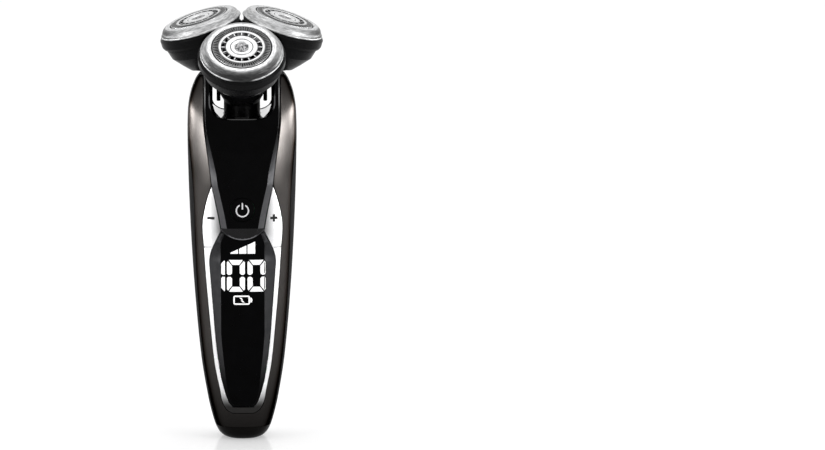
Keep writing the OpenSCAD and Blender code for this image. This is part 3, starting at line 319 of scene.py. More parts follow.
LOOKS = {
    "frame_metallic": dict(base=(0.041, 0.038, 0.0362), tint=(0.048, 0.0445, 0.0424), tint_scale=2500,
        metallic=1.0, rough=0.19, rough_span=0.02, rough_scale=4000, bump=0.02, bump_scale=9000, edge=0.25,
        shaded=True),
    "panel_gloss": dict(base=(0.0006, 0.0006, 0.0007), tint=(0.0012, 0.0012, 0.0014), tint_scale=250,
        rough=0.08, rough_span=0.02, rough_scale=900, bump=0.012, bump_scale=700, spec=0.035),
    "window_gloss": dict(base=(0.0005, 0.0005, 0.0006), tint=(0.0012, 0.0012, 0.0015), tint_scale=200,
        rough=0.06, rough_span=0.02, rough_scale=700, bump=0.008, bump_scale=500, spec=0.03),
    "trim_chrome": dict(base=(0.84, 0.84, 0.845), tint=(0.88, 0.88, 0.885), tint_scale=500, metallic=0.75,
        rough=0.24, rough_span=0.03, rough_scale=1500, bump=0.012, bump_scale=2500, shaded=True),
    "shell_black": dict(base=(0.009, 0.009, 0.0094), tint=(0.014, 0.014, 0.0145), tint_scale=1800,
        rough=0.48, rough_scale=3000, bump=0.06, bump_scale=6000, spec=0.01),
    "grip_rubber": dict(base=(0.009, 0.009, 0.0095), tint=(0.016, 0.016, 0.017), tint_scale=4000, rough=0.6,
        rough_span=0.1, rough_scale=5000, bump=0.35, bump_scale=5200, relief="voronoi", spec=0.35),
    "socket_plastic": dict(base=(0.01, 0.01, 0.011), tint=(0.016, 0.016, 0.017), tint_scale=2500, rough=0.42,
        bump=0.12, bump_scale=7000),
    "contact_metal": dict(base=(0.62, 0.6, 0.55), tint=(0.72, 0.7, 0.66), tint_scale=900, metallic=1.0,
        rough=0.28, rough_span=0.07, bump=0.06, bump_scale=3000, stretch=(1, 1, 0.15)),
    "chassis_plastic": dict(base=(0.022, 0.023, 0.026), tint=(0.032, 0.033, 0.036), tint_scale=2200,
        rough=0.5, rough_span=0.07, bump=0.15, bump_scale=5200),
    "cell_sleeve": dict(base=(0.05, 0.22, 0.12), tint=(0.06, 0.26, 0.145), tint_scale=600, rough=0.36,
        rough_span=0.08, bump=0.08, bump_scale=1400),
    "board_green": dict(base=(0.012, 0.1, 0.04), tint=(0.02, 0.15, 0.062), tint_scale=1300, rough=0.38,
        rough_span=0.08, bump=0.14, bump_scale=2600, stretch=(1, 1, 0.3)),
    "module_dark": dict(base=(0.016, 0.016, 0.02), tint=(0.026, 0.026, 0.031), tint_scale=1100, rough=0.34,
        bump=0.08, bump_scale=3200),
    "motor_steel": dict(base=(0.44, 0.44, 0.45), tint=(0.54, 0.54, 0.55), tint_scale=1200, metallic=1.0,
        rough=0.34, rough_span=0.08, bump=0.08, bump_scale=2600, stretch=(1, 1, 0.1)),
    "screw_steel": dict(base=(0.4, 0.4, 0.41), tint=(0.5, 0.5, 0.51), tint_scale=2000, metallic=1.0,
        rough=0.3, rough_span=0.08, bump=0.1, bump_scale=4000),
    "shaft_steel": dict(base=(0.56, 0.56, 0.58), tint=(0.66, 0.66, 0.68), tint_scale=1500, metallic=1.0,
        rough=0.22, bump=0.06, bump_scale=3500, stretch=(1, 1, 0.2)),
    "gear_ivory": dict(base=(0.66, 0.62, 0.5), tint=(0.72, 0.68, 0.57), tint_scale=1400, rough=0.42,
        rough_span=0.08, bump=0.1, bump_scale=5000),
    "ring_plastic": dict(base=(0.02, 0.02, 0.022), tint=(0.03, 0.03, 0.032), tint_scale=2600, rough=0.45,
        rough_span=0.07, bump=0.12, bump_scale=6000),
    "bezel_steel": dict(base=(0.56, 0.565, 0.57), tint=(0.9, 0.905, 0.91), tint_scale=2400, tint_low=0.42,
        tint_high=0.58, metallic=1.0, rough=0.33, rough_span=0.05, rough_scale=5000, bump=0.14,
        bump_scale=2600, detail=2.0, polar=True, stretch=(1.0, 0.25, 0.8), aniso=0.5, shaded=True),
    "guard_steel": dict(base=(0.7, 0.705, 0.71), tint=(0.8, 0.805, 0.81), tint_scale=5000, tint_low=0.3,
        tint_high=0.7, metallic=1.0, rough=0.2, rough_span=0.04, rough_scale=4000, bump=0.03,
        bump_scale=5000, detail=2.0, polar=True, stretch=(1.0, 0.05, 1.0), aniso=0.3, shaded=True),
    "cutter_steel": dict(base=(0.2, 0.2, 0.205), tint=(0.3, 0.3, 0.305), tint_scale=1600, metallic=1.0,
        rough=0.32, rough_span=0.08, bump=0.1, bump_scale=3000),
    "head_band": dict(base=(0.004, 0.004, 0.0043), tint=(0.007, 0.007, 0.0073), tint_scale=900, rough=0.3,
        rough_scale=1200, bump=0.05, bump_scale=2500, spec=0.05, stretch=(1, 1, 6)),
    "unit_black": dict(base=(0.003, 0.003, 0.0033), tint=(0.006, 0.006, 0.0065), tint_scale=1500, rough=0.28,
        rough_scale=2500, bump=0.05, bump_scale=5000, spec=0.06),
    "neck_black": dict(base=(0.004, 0.004, 0.0043), tint=(0.007, 0.007, 0.0075), tint_scale=1500, rough=0.2,
        rough_span=0.05, rough_scale=2500, bump=0.04, bump_scale=5000),
    "saddle_gloss": dict(base=(0.002, 0.002, 0.0022), tint=(0.004, 0.004, 0.0044), tint_scale=700,
        rough=0.05, rough_span=0.02, rough_scale=1100, bump=0.008, bump_scale=900, coat=1.0,
        coat_rough=0.04),
    # Grey metal for the black panels' bevels, whose colour is a painted reflection
    "side_painted_reflection": dict(base=(0.062, 0.062, 0.065), tint=(0.074, 0.074, 0.077), tint_scale=400, metallic=1.0,
        rough=0.14, rough_span=0.03, rough_scale=900, bump=0.012, bump_scale=900, edge=0.6, shaded=True),
    "facet_gloss": dict(base=(0.003, 0.003, 0.0034), tint=(0.005, 0.005, 0.0056), tint_scale=400, rough=0.14,
        rough_span=0.03, rough_scale=900, bump=0.012, bump_scale=900, spec=0.2),
    "foot_dark": dict(base=(0.006, 0.0055, 0.0052), tint=(0.008, 0.0074, 0.007), tint_scale=1500,
        metallic=0.2, rough=0.3, rough_span=0.04, rough_scale=2500, bump=0.03, bump_scale=6000, spec=0.06,
        edge=0.25),
    "mark_black": dict(base=(0.004, 0.004, 0.004), tint=(0.008, 0.008, 0.008), tint_scale=3000, rough=0.45,
        bump=0.05, bump_scale=6000),
    "cap_texture": dict(base=(0.06, 0.06, 0.062), tint=(0.42, 0.42, 0.425), tint_scale=1300, tint_low=0.42,
        tint_high=0.58, metallic=1.0, rough=0.36, rough_span=0.1, bump=0.6, bump_scale=1300,
        relief="voronoi"),
}
MATERIALS = {name: new_material(name, **look) for name, look in LOOKS.items()}


def light_mark(name, colour, strength):
    """Pale mark with a glow: on the display its own light, on a print a faint painted glow."""
    m = new_material(name, colour, rough=0.4, tint=tuple(min(1, c * 1.05) for c in colour),
                     tint_scale=900, rough_span=0.08, bump=0.03, bump_scale=4000)
    bsdf = next(n for n in m.node_tree.nodes if n.type == "BSDF_PRINCIPLED")
    bsdf.inputs["Emission Color"].default_value = (*colour, 1)
    bsdf.inputs["Emission Strength"].default_value = strength
    return m


MATERIALS["display_lit"] = light_mark("display_lit", (0.9, 0.9, 0.9), 0.55)
# The printed sign's faint glow is painted light
MATERIALS["print_white_painted_glow"] = light_mark("print_white_painted_glow", (0.72, 0.72, 0.73), 0.25)

# The CAD pieces that stay get the look of their slot, or one of their own
OWN_LOOKS = {"unit_base": "unit_black", "unit_cover": "unit_black", "neck": "neck_black",
             "saddle": "saddle_gloss", "head_base_front": "head_band", "head_base_right": "head_band",
             "head_base_left": "head_band"}
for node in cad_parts.values():
    for place in node.material_slots:
        look = place.material.name.split(".")[0] if place.material else None
        if look in MATERIALS:
            place.material = MATERIALS[look]
for name, look in OWN_LOOKS.items():
    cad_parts[name].material_slots[0].material = MATERIALS[look]

# ---- mesh helpers


def add_shade(mesh, shade):
    """Stores shade(x, y, z), in millimetres, as the share of the colour at each point: painted light and
    shade.
    """
    layer = mesh.color_attributes.new("shade", "FLOAT_COLOR", "POINT")
    for v in mesh.vertices:
        k = shade(*(c / MM for c in v.co))
        layer.data[v.index].color = (*(k if isinstance(k, tuple) else (k, k, k)), 1)


def add_object(mesh, look, body, replaced=(), shade=None):
    """Smooth piece that rides on the body, with the look's material."""
    if shade:
        add_shade(mesh, shade)
    obj = bpy.data.objects.new(mesh.name, mesh)
    scene.collection.objects.link(obj)
    mesh.materials.append(MATERIALS[look])
    for p in mesh.polygons:
        p.use_smooth = True
    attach(obj, body)
    if replaced:
        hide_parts(*replaced)
    return obj


def to_mesh(bm, name):
    mesh = bpy.data.meshes.new(name)
    bm.to_mesh(mesh)
    bm.free()
    return mesh


def turn_outward(bm, outward=None):
    """Gives the faces one side, which looks along outward on the whole."""
    bmesh.ops.recalc_face_normals(bm, faces=bm.faces[:])
    if outward and sum(f.normal.dot(Vector(outward)) * f.calc_area() for f in bm.faces) < 0:
        bmesh.ops.reverse_faces(bm, faces=bm.faces[:])


def mesh_from(bm, name, outward=None):
    """The finished mesh, with shared points merged and empty faces dissolved."""
    bmesh.ops.remove_doubles(bm, verts=bm.verts[:], dist=2e-6)
    bmesh.ops.dissolve_degenerate(bm, edges=bm.edges[:], dist=1e-7)
    turn_outward(bm, outward)
    return to_mesh(bm, name)


def add_strip(bm, grid, wrap=False):
    """Quads between the grid's rows; wrap closes each row into a ring."""
    made = [[bm.verts.new(Vector(p) * MM) for p in row] for row in grid]
    for a, b in zip(made, made[1:]):
        count = len(a)
        for i in range(count if wrap else count - 1):
            j = (i + 1) % count
            bm.faces.new((a[i], a[j], b[j], b[i]))


def half_sheet(name, strips, outward, side=0):
    """Open sheet from grids of points of the right half; side 0 adds the mirror image, -1 keeps only that."""
    bm = bmesh.new()
    for grid in strips:
        if side >= 0:
            add_strip(bm, grid)
        if side <= 0:
            add_strip(bm, [[(-p[0], p[1], p[2]) for p in row] for row in grid])
    return mesh_from(bm, name, outward)


def thicken(obj, thickness):
    """Makes the sheet a wall that grows inward."""
    solid = obj.modifiers.new("wall", "SOLIDIFY")
    solid.thickness = thickness * MM


def round_edges(obj, bevel=0.1, angle=50):
    """Rounds the edges that are sharper than the angle."""
    edge = obj.modifiers.new("edge", "BEVEL")
    edge.width = bevel * MM
    edge.segments = 3
    edge.angle_limit = math.radians(angle)
    weighted = obj.modifiers.new("normals", "WEIGHTED_NORMAL")
    weighted.keep_sharp = True
    return edge


def apply_modifiers(obj):
    """Makes the mesh what its modifiers show, and removes them."""
    bpy.context.view_layer.update()
    shown = obj.evaluated_get(bpy.context.evaluated_depsgraph_get())
    mesh = bpy.data.meshes.new_from_object(shown)
    obj.modifiers.clear()
    obj.data = mesh


# ---- handle: frame and rear cover

Z_LOW = 5.04
SHELL_WALL = 2.0
PANEL_WALL = 1.8
KEY_WALL = 0.9
CHIN_HALF = 4.2
frame_low = [Z_LOW, 5.4, 6, 7, 8, 9.2, 10.6]
frame_high = spread(10.6, 13, 8) + spread(13.6, 20, 10)[1:] + spread(22, 98, 38) + [99.0, 99.5, 100.2] \
    + spread(102, 138, 24) + [139.2, 140.0, 140.5]


def frame_row(z, inner):
    """Skin points from the opening's edge round to the seam with the rear cover."""
    a = -angle_of(z, inner)
    return [skin(z, lerp(a, -parting(z), i / 26)) for i in range(27)]


rows = [frame_row(z, CHIN_HALF) for z in frame_low[:-1]] + [frame_row(z, opening(z)) for z in frame_high]
base = [[skin(z, lerp(-90, -angle_of(z, CHIN_HALF), i / 6)) for i in range(7)] for z in frame_low]


def frame_painted_light(x, y, z):
    """Painted light on the frame: painted shade that darkens it towards the foot, over its middle and at the
    tips, and a painted highlight on the horns, strongest along their inner side and outer edge.
    """
    low = 0.25 + 0.75 * smooth((z + 2) / 45)
    waist = 1 - 0.32 * smooth((z - 55) / 30) * smooth((116 - z) / 12)
    horn = 1 + 0.8 * smooth((z - 102) / 13) * smooth((136 - z) / 8)
    share = abs(x) / half_width(z)
    inner = lerp(0.88, 1.85, smooth((0.84 - share) / 0.2))
    inner = lerp(1, inner, smooth((z - 97) / 8) * smooth((128 - z) / 6))
    outer = 1 + 1.2 * smooth((share - 0.84) / 0.1) * smooth((z - 113) / 8) * smooth((131 - z) / 5)
    return low * waist * horn * inner * outer * (1 - 0.3 * smooth((z - 128) / 10))


# The frame's colour carries painted shade and a painted highlight
front = add_object(half_sheet("frame_shell", [rows, base], (0, -1, 0)), "frame_metallic", "handle",
                   ("front_frame",), shade=frame_painted_light)
thicken(front, SHELL_WALL)
round_edges(front)

cover_z = [Z_LOW, 5.4, 6, 7] + spread(8.5, 122, 56) + CORNER_Z + spread(132, 138.5, 5) + [139.6, 140.5]


def cover_row(z, start, end, steps):
    return [skin(z, lerp(start, end, i / steps)) for i in range(steps + 1)]


def gap_angle(z):
    """Angle of the U opening's side, and below the opening of its floor's end."""
    return angle_of(z, gap_edge(max(z, GAP_FLOOR_Z)))


rows = [cover_row(z, gap_angle(z), 0.5 - parting(z), 30) for z in cover_z]
middle = [cover_row(z, 90, gap_angle(z), 6) for z in cover_z if z <= GAP_FLOOR_Z + TINY]
rear = add_object(half_sheet("rear_shell", [rows, middle], (0, 1, 0)), "shell_black", "handle",
                  ("rear_cover",))
thicken(rear, SHELL_WALL)
round_edges(rear)

# ---- handle: grip on the back

GRIP_LOW, GRIP_HIGH = 0.118 * HANDLE_H, 0.782 * HANDLE_H
GRIP_ANGLE = 44
GRIP_RISE = 0.9
GRIP_SINK = 0.12
SINK_GAIN = 1.13
GRIP_END = 1.2
RIB_RISE = 0.5
RIB_HALF = 0.95
RIBS = spread(0.24 * HANDLE_H, 0.7 * HANDLE_H, 11)


def grip_half(z):
    """Half of the grip's reach round the handle at height z, in degrees."""
    return max(0.5, GRIP_ANGLE * max(0.0, 1 - (abs(z / HANDLE_H - 0.45) / 0.335) ** 5) ** 0.35)


def round_off(share):
    """Height of a quarter circle that starts at share 0 and is full at share 1."""
    return math.sqrt(max(0.0, 1 - (1 - clamp01(share)) ** 2))


def rib_rise(z, u):
    """Rise of the ribs at height z, a share u of the way in from the grip's side."""
    near = min(abs(z - r) for r in RIBS)
    return RIB_RISE * smooth((RIB_HALF - near) / 0.5) * smooth((u - 0.17) / 0.06)


def grip_row(z):
    """Points across the grip, whose edge is sunk into the cover."""
    row = []
    ends = round_off(min(z - GRIP_LOW, GRIP_HIGH - z) / GRIP_END)
    for i in range(61):
        u = 1 - abs(i / 30 - 1)
        rise = GRIP_RISE * round_off(u * 14) * ends
        rib = rib_rise(z, u) if rise > 0.8 else 0
        row.append(skin(z, 90 + grip_half(z) * (i / 30 - 1), GRIP_SINK - rise * SINK_GAIN - rib))
    return row


bm = bmesh.new()
add_strip(bm, [grip_row(z) for z in spread(GRIP_LOW, GRIP_HIGH, 330)])
add_object(mesh_from(bm, "grip_pad", (0, 1, 0)), "grip_rubber", "handle", ("rear_grip",))

# ---- handle: front panels


def arc_heights(low, r, first, last, steps):
    """Heights along an arc that starts at height low, between two angles in degrees."""
    return [low + r * (1 - math.cos(math.radians(a))) for a in spread(first, last, steps)]


def panel_columns(inner, f, w, face_count=9, bevel_count=4):
    """Distances from the middle: an even face, a soft break at f and a bevel out to w."""
    f = min(max(f, inner + 0.02), w - 0.02)
    soft = min(0.28, 0.4 * (f - inner), 0.4 * (w - f))
    return spread(inner, f - soft, face_count) + [f] + spread(f + soft, w, bevel_count)


tongue_z = [z for z in arc_heights(TONGUE_LOW_Z, TONGUE_ARC_R, 3, 48, 15) if z < WAIST_Z - 0.05] \
    + [82.0, 82.4, 82.7, 82.9, 83.1, 83.4] + spread(84.5, 122, 30) + CORNER_Z + spread(132, 139.5, 6) \
    + [HANDLE_H]


def tongue_row(z, inner):
    return [(x, tongue_face(z, x), z) for x in panel_columns(inner, tongue_flat(z), tongue_edge(z))]


def tongue_inner(z):
    """Where the tongue's side strips start: at the U opening, or nearer the middle below it."""
    return gap_edge(z) if z >= GAP_FLOOR_Z else min(gap_edge(GAP_FLOOR_Z), 0.5 * tongue_edge(z))


def gap_chamfer(row):
    """Lays back the face beside the U opening by a narrow chamfer."""
    x, y, z = row[0]
    if z < GAP_FLOOR_Z + 0.05:
        return [row[0], row[0]] + row[1:]
    others = [(max(a, x + CHAMFER + 0.02 * i), b, c) for i, (a, b, c) in enumerate(row[1:], 1)]
    return [(x, y + CHAMFER, z), (x + CHAMFER, y, z)] + others


rows = [gap_chamfer(tongue_row(z, tongue_inner(z))) for z in tongue_z]
middle = [[(x, tongue_face(z, x), z) for x in spread(0, tongue_inner(z), 5)]
          for z in tongue_z if z <= GAP_FLOOR_Z + TINY]
tongue = add_object(half_sheet("tongue_panel", [rows, middle], (0, -1, 0)), "panel_gloss", "handle",
                    ("front_panel",))
thicken(tongue, PANEL_WALL)

# The power button's hole
HOLE_DEPTH = 0.03
bm = bmesh.new()
hole_r = (POWER_R + SEAM) * MM
place = Matrix.Translation((0, -HOLE_DEPTH / 2, POWER_Z * MM)) @ Matrix.Rotation(math.pi / 2, 4, "X")
bmesh.ops.create_cone(bm, cap_ends=True, segments=96, radius1=hole_r, radius2=hole_r, depth=HOLE_DEPTH,
                      matrix=place)
hole = bpy.data.objects.new("hole_cutter", to_mesh(bm, "hole_cutter"))
scene.collection.objects.link(hole)
cut = tongue.modifiers.new("hole", "BOOLEAN")
cut.operation = "DIFFERENCE"
cut.solver = "EXACT"
cut.object = hole
apply_modifiers(tongue)
bpy.data.objects.remove(hole)


def tongue_slot(x, z):
    """Material slot of the tongue's surface: 0 face, 1 bevels, chamfer and lower lip, 2 low facet."""
    if z < FACET_TOP_Z:
        return 1 if math.hypot(x, z - TONGUE_LOW_Z - TONGUE_ARC_R) > TONGUE_ARC_R - LIP_W else 2
    beside_gap = z > GAP_FLOOR_Z + 0.3 and x < gap_edge(z) + 0.6 * CHAMFER
    return 1 if x > tongue_flat(z) - 0.05 or beside_gap else 0


def tongue_painted_reflection(x, y, z):
    """Painted reflection on the tongue's bevels: it fades into the black towards the horns, and is brightest
    at the lip's middle and the gap's rim.
    """
    if z < FACET_TOP_Z:
        return lerp(1.9, 0.5, smooth((abs(x) - 4.4) / 1.6))
    beside_gap = z > GAP_FLOOR_Z and abs(x) < gap_edge(z) + 1.5 * CHAMFER
    return 1.6 if beside_gap else lerp(1.15, 0.06, smooth((z - 100) / 20))


# The bevels, chamfer and lower lip get the grey metal of painted reflection
for look in ("side_painted_reflection", "facet_gloss"):
    tongue.data.materials.append(MATERIALS[look])
add_shade(tongue.data, tongue_painted_reflection)
for p in tongue.data.polygons:
    p.use_smooth = True
    p.material_index = tongue_slot(abs(p.center.x) / MM, p.center.z / MM)
round_edges(tongue, 0.3).material = 1

# Power button: a disc with a soft edge that follows the tongue's face, and a stem behind it
POWER_PROFILE = [(0, 0), (0.35, 0), (0.7, 0), (0.9, 0), (0.96, 0.02), (0.99, 0.08), (1, 0.2), (1, 1.6),
                 (0.35, 1.6), (0.35, 3.0), (0, 3.0)]
POWER_PROUD = 0.03


def power_face(z, x):
    """Y of the power button's front, which keeps one curve over its height."""
    return tongue_face(POWER_Z, x) - POWER_PROUD


def power_ring(share, depth):
    ring = []
    for i in range(64):
        a = 2 * math.pi * i / 64
        x = POWER_R * share * math.cos(a)
        ring.append((x, power_face(POWER_Z, x) + depth, POWER_Z + POWER_R * share * math.sin(a)))
    return ring


bm = bmesh.new()
add_strip(bm, [power_ring(share, depth) for share, depth in POWER_PROFILE], wrap=True)
add_object(mesh_from(bm, "power_disc"), "panel_gloss", "power_button", ("power_button",))

# Display window, whose upper end follows the tongue's low arc
window_z = [13.25, 13.6, 14.2] + spread(15, 22, 7) + spread(24, 68, 22) + spread(69.5, 77.5, 8) \
    + [z for z in arc_heights(TONGUE_LOW_Z - SEAM, TONGUE_ARC_R + SEAM, 0, 47, 14) if z < 81.7]


def window_inner(z):
    """Half-width that the tongue's low arc takes out of the window."""
    low = TONGUE_LOW_Z + TONGUE_ARC_R - z
    reach = (TONGUE_ARC_R + SEAM) ** 2 - low ** 2
    return math.sqrt(reach) if z > TONGUE_LOW_Z - SEAM and reach > 0 else 0.0


def window_painted_reflection(x, y, z):
    """Painted reflection on the window's bevels, which fades into the black at both ends."""
    return lerp(0.06, 0.55, smooth((z - 19) / 18)) * (1 - 0.85 * smooth((z - 69) / 9))


rows = [[(x, window_face(z, x), z) for x in
         panel_columns(window_inner(z), window_flat(z), window_edge(z) - SEAM, 10, 5)]
        for z in window_z if window_edge(z) - SEAM > window_inner(z) + 0.08]
window = add_object(half_sheet("display_glass", [rows], (0, -1, 0)), "window_gloss", "handle",
                    ("display_window",), shade=window_painted_reflection)
thicken(window, PANEL_WALL)
round_edges(window)
# The bevels get the grey metal of painted reflection
window.data.materials.append(MATERIALS["side_painted_reflection"])
for p in window.data.polygons:
    x, z = abs(p.center.x) / MM, p.center.z / MM
    p.material_index = 1 if x > window_flat(z) - 0.05 else 0

# ---- handle: trim and keys


def trim_face(z, x):
    """Y of the trim and the keys: the keys fall away gently towards the tongue."""
    fall = 0.8 * smooth((12.6 - abs(x)) / 4.6) * smooth((z - 72) / 7) * smooth((99 - z) / 7)
    return skin_y(z, x) + TRIM_INSET + fall


# Rounded side of the trim, as (distance in from the side, drop)
EDGE = [(0.0, 0.75), (0.02, 0.3), (0.09, 0.12), (0.2, 0.03), (0.34, 0.0)]


def trim_rows(zs, inner, outer, count, inner_edge=True):
    """Rows across the trim between two half-widths, with rounded sides."""
    rows = []
    for z in zs:
        a, b = inner(z), outer(z)
        k = min(1.0, (b - a) / 0.8)
        near = [(a + k * d, drop) for d, drop in EDGE] if inner_edge else [(a, 0.0)]
        far = [(b - k * d, drop) for d, drop in reversed(EDGE)]
        flat = [(x, 0.0) for x in spread(near[-1][0], far[0][0], count)[1:-1]]
        rows.append([(x, trim_face(z, x) + drop, z) for x, drop in near + flat + far])
    return rows


trim_low = spread(10.85, 13, 7)
SPLIT_GAP = 0.012
trim_z = trim_low + spread(13.3, 20, 12) + spread(21.5, 73.5, 32) + [74.3, KEY_SPLIT_Z - SPLIT_GAP]
rows = trim_rows([z for z in trim_z if z >= 13], window_edge, lambda z: opening(z) - SEAM, 6)
low_rows = trim_rows(trim_low, lambda z: 0.0, lambda z: max(0.9, opening(z) - SEAM), 12, inner_edge=False)


def trim_painted_shade(x, y, z):
    """Bright metal with painted shade: darker beside the tongue, and brown-grey at the low end of the loop.
    """
    side = 1 - 0.78 * smooth((12.2 - abs(x)) / 4.2) * smooth((z - 75) / 7) * smooth((99 - z) / 8)
    low = smooth((z - 13) / 9)
    return tuple(side * lerp(dark, 1, low) for dark in (0.022, 0.021, 0.02))


# The trim and keys carry painted shade
add_object(half_sheet("trim_band", [rows, low_rows], (0, -1, 0)), "trim_chrome", "handle", ("trim_loop",),
           shade=trim_painted_shade)


def key_inner(z):
    """Half-width where the keys start, above the waist a seam off the tongue."""
    return window_edge(z) + (0 if z < WAIST_Z else SEAM)


key_z = [z for z in [KEY_SPLIT_Z + SPLIT_GAP] + spread(76, 99, 46) if opening(z) - SEAM > key_inner(z) + 0.25]
for side, word in ((-1, "minus"), (1, "plus")):
    grid = trim_rows(key_z, key_inner, lambda z: opening(z) - SEAM, 12)
    key = add_object(half_sheet(word + "_cap", [grid], (0, -1, 0), side), "trim_chrome", word + "_key",
                     (word + "_key",), shade=trim_painted_shade)
    thicken(key, KEY_WALL)

# ---- foot

FOOT_SIDES = 96
HOLE_W, HOLE_T = 11.1, 7.5


def stadium(t):
    """Point of the inlet's outline in the direction t in degrees."""
    c, s = math.cos(math.radians(t)), math.sin(math.radians(t))
    r, half = HOLE_T / 2, (HOLE_W - HOLE_T) / 2
    if abs(s) > 1e-9 and abs(c / s) * r <= half:
        k = r / abs(s)
        return k * c, k * s
    b = half * abs(c)
    k = b + math.sqrt(max(0.0, b * b - half * half + r * r))
    return k * c, k * s


def foot_ring(z, inset=0.0):
    return [skin(z, 360 * i / FOOT_SIDES, inset) for i in range(FOOT_SIDES)]


def bottom_ring(share, z):
    """Ring a share of the way from the inlet's outline to the skin's low edge."""
    ring = []
    for i in range(FOOT_SIDES):
        outer = skin(0, 360 * i / FOOT_SIDES, 0.0)
        inner = stadium(math.degrees(math.atan2(outer[1], outer[0])))
        ring.append((lerp(inner[0], outer[0], share), lerp(inner[1], outer[1], share), z))
    return ring


bm = bmesh.new()
add_strip(bm, [bottom_ring(0, 8.0), bottom_ring(0, 0.45), bottom_ring(0.04, 0.12), bottom_ring(0.12, 0.0),
               bottom_ring(0.5, 0.0), bottom_ring(0.94, 0.0)]
          + [foot_ring(z) for z in (0.05, 0.18, 0.4, 0.7, 1.1, 1.6, 2.2, 3, 3.8, 4.6)]
          + [foot_ring(4.9), foot_ring(4.97, 0.04), foot_ring(4.99, 0.15), foot_ring(4.99, 2.2)], wrap=True)
add_object(mesh_from(bm, "foot_shell"), "foot_dark", "handle", ("foot_cap",))

# ---- marks

# Keeps the cuts off the outlines' own corners
CUT_SHIFT = 0.013


def mark(name, shapes, face, body, look, lift=0.035, step=1.0):
    """Thin printed shapes, drawn as outlines of [x, height], laid on the surface face(height, x)."""
    bm = bmesh.new()
    for outline in shapes:
        bm.faces.new([bm.verts.new((x, 0, z)) for x, z in outline])
    xs = [v.co.x for v in bm.verts]
    zs = [v.co.z for v in bm.verts]
    for axis, low, high in ((0, min(xs), max(xs)), (2, min(zs), max(zs))):
        at = math.floor(low / step) * step + step
        while at < high:
            point, normal = [0, 0, 0], [0, 0, 0]
            point[axis], normal[axis] = at + CUT_SHIFT, 1
            bmesh.ops.bisect_plane(bm, geom=bm.verts[:] + bm.edges[:] + bm.faces[:], plane_co=point,
                                   plane_no=normal)
            at += step
    for v in bm.verts:
        v.co = Vector((v.co.x, face(v.co.z, v.co.x) - lift, v.co.z)) * MM
    bmesh.ops.recalc_face_normals(bm, faces=bm.faces[:])
    for f in bm.faces:
        if f.normal.y > 0:
            f.normal_flip()
    thicken(add_object(to_mesh(bm, name), look, body), 0.9 * lift)


def arc_band(cx, cz, r, width, a0, a1, steps):
    """Quads of a band of that width along an arc."""
    def at(radius, i):
        a = math.radians(lerp(a0, a1, i / steps))
        return cx + radius * math.cos(a), cz + radius * math.sin(a)

    lo, hi = r - width / 2, r + width / 2
    return [[at(lo, i), at(hi, i), at(hi, i + 1), at(lo, i + 1)] for i in range(steps)]


def box(x0, z0, x1, z1):
    return [(x0, z0), (x1, z0), (x1, z1), (x0, z1)]


def zero_segments(x0, z0, w, h, t):
    """Six bars of a figure 0 as a display shows it."""
    shapes = []
    for top in (0, 1):
        def flip(points):
            return [(x0 + x, z0 + (z if top else h - z)) for x, z in points]

        low = h - t + 0.05
        shapes.append(flip([(0.75, h), (w - 0.75, h), (w - t - 0.15, low), (t + 0.15, low)]))
        for right in (0, 1):
            bar = [(0, h - 0.95), (0.42, h - 0.42), (t, h - t - 0.38), (t, h / 2 + 1.0),
                   (t - 0.62, h / 2 + 0.4), (0.5, h / 2 + 0.4), (0, h / 2 + 0.85)]
            shapes.append(flip([(w - x if right else x, z) for x, z in bar]))
    return shapes


# Two figures 0, and the side bars of a third one at their left
DIGIT_Z, DIGIT_W, DIGIT_H, BAR = 58.4, 6.85, 12.3, 1.95
digits = [shape for x in (-6.0, 1.85) for shape in zero_segments(x, DIGIT_Z, DIGIT_W, DIGIT_H, BAR)]
for top in (0, 1):
    bar = [(-8.15, DIGIT_H - 1.5), (-7.0, DIGIT_H - 0.2), (-6.75, DIGIT_H - 0.5), (-6.75, DIGIT_H / 2 + 0.4),
           (-7.7, DIGIT_H / 2 + 0.4), (-8.15, DIGIT_H / 2 + 0.95)]
    digits.append([(x, DIGIT_Z + (z if top else DIGIT_H - z)) for x, z in bar])
mark("display_digits", digits, window_face, "handle", "display_lit")

# Three bars whose top slants up to the right
RAMP_X0, RAMP_X1, RAMP_LOW, RAMP_FROM, RAMP_TO = -4.65, 4.8, 73.1, 73.5, 77.8


def ramp_top(x):
    return lerp(RAMP_FROM, RAMP_TO, (x - RAMP_X0) / (RAMP_X1 - RAMP_X0))


ramp_bars = [[(x0, RAMP_LOW), (x1, RAMP_LOW), (x1, ramp_top(x1)), (x0, ramp_top(x0))]
             for x0, x1 in ((RAMP_X0, -1.75), (-1.3, 1.45), (1.9, RAMP_X1))]
mark("display_ramp", ramp_bars, window_face, "handle", "display_lit")

# Battery: four sides, four round corners, the cap and the flash
BX0, BX1, BZ0, BZ1, BW, BR = -3.6, 2.75, 53.3, 56.9, 0.56, 0.75
cell = [box(BX0 + BR, BZ0, BX1 - BR, BZ0 + BW), box(BX0 + BR, BZ1 - BW, BX1 - BR, BZ1),
        box(BX0, BZ0 + BR, BX0 + BW, BZ1 - BR), box(BX1 - BW, BZ0 + BR, BX1, BZ1 - BR)]
for cx, cz, a in ((BX0 + BR, BZ0 + BR, 180), (BX1 - BR, BZ0 + BR, 270), (BX1 - BR, BZ1 - BR, 0),
                  (BX0 + BR, BZ1 - BR, 90)):
    cell += arc_band(cx, cz, BR - BW / 2, BW, a, a + 90, 4)
cell.append([(BX1 + 0.12, BZ0 + 0.75), (BX1 + 0.7, BZ0 + 1.0), (BX1 + 0.95, (BZ0 + BZ1) / 2),
             (BX1 + 0.7, BZ1 - 1.0), (BX1 + 0.12, BZ1 - 0.75)])
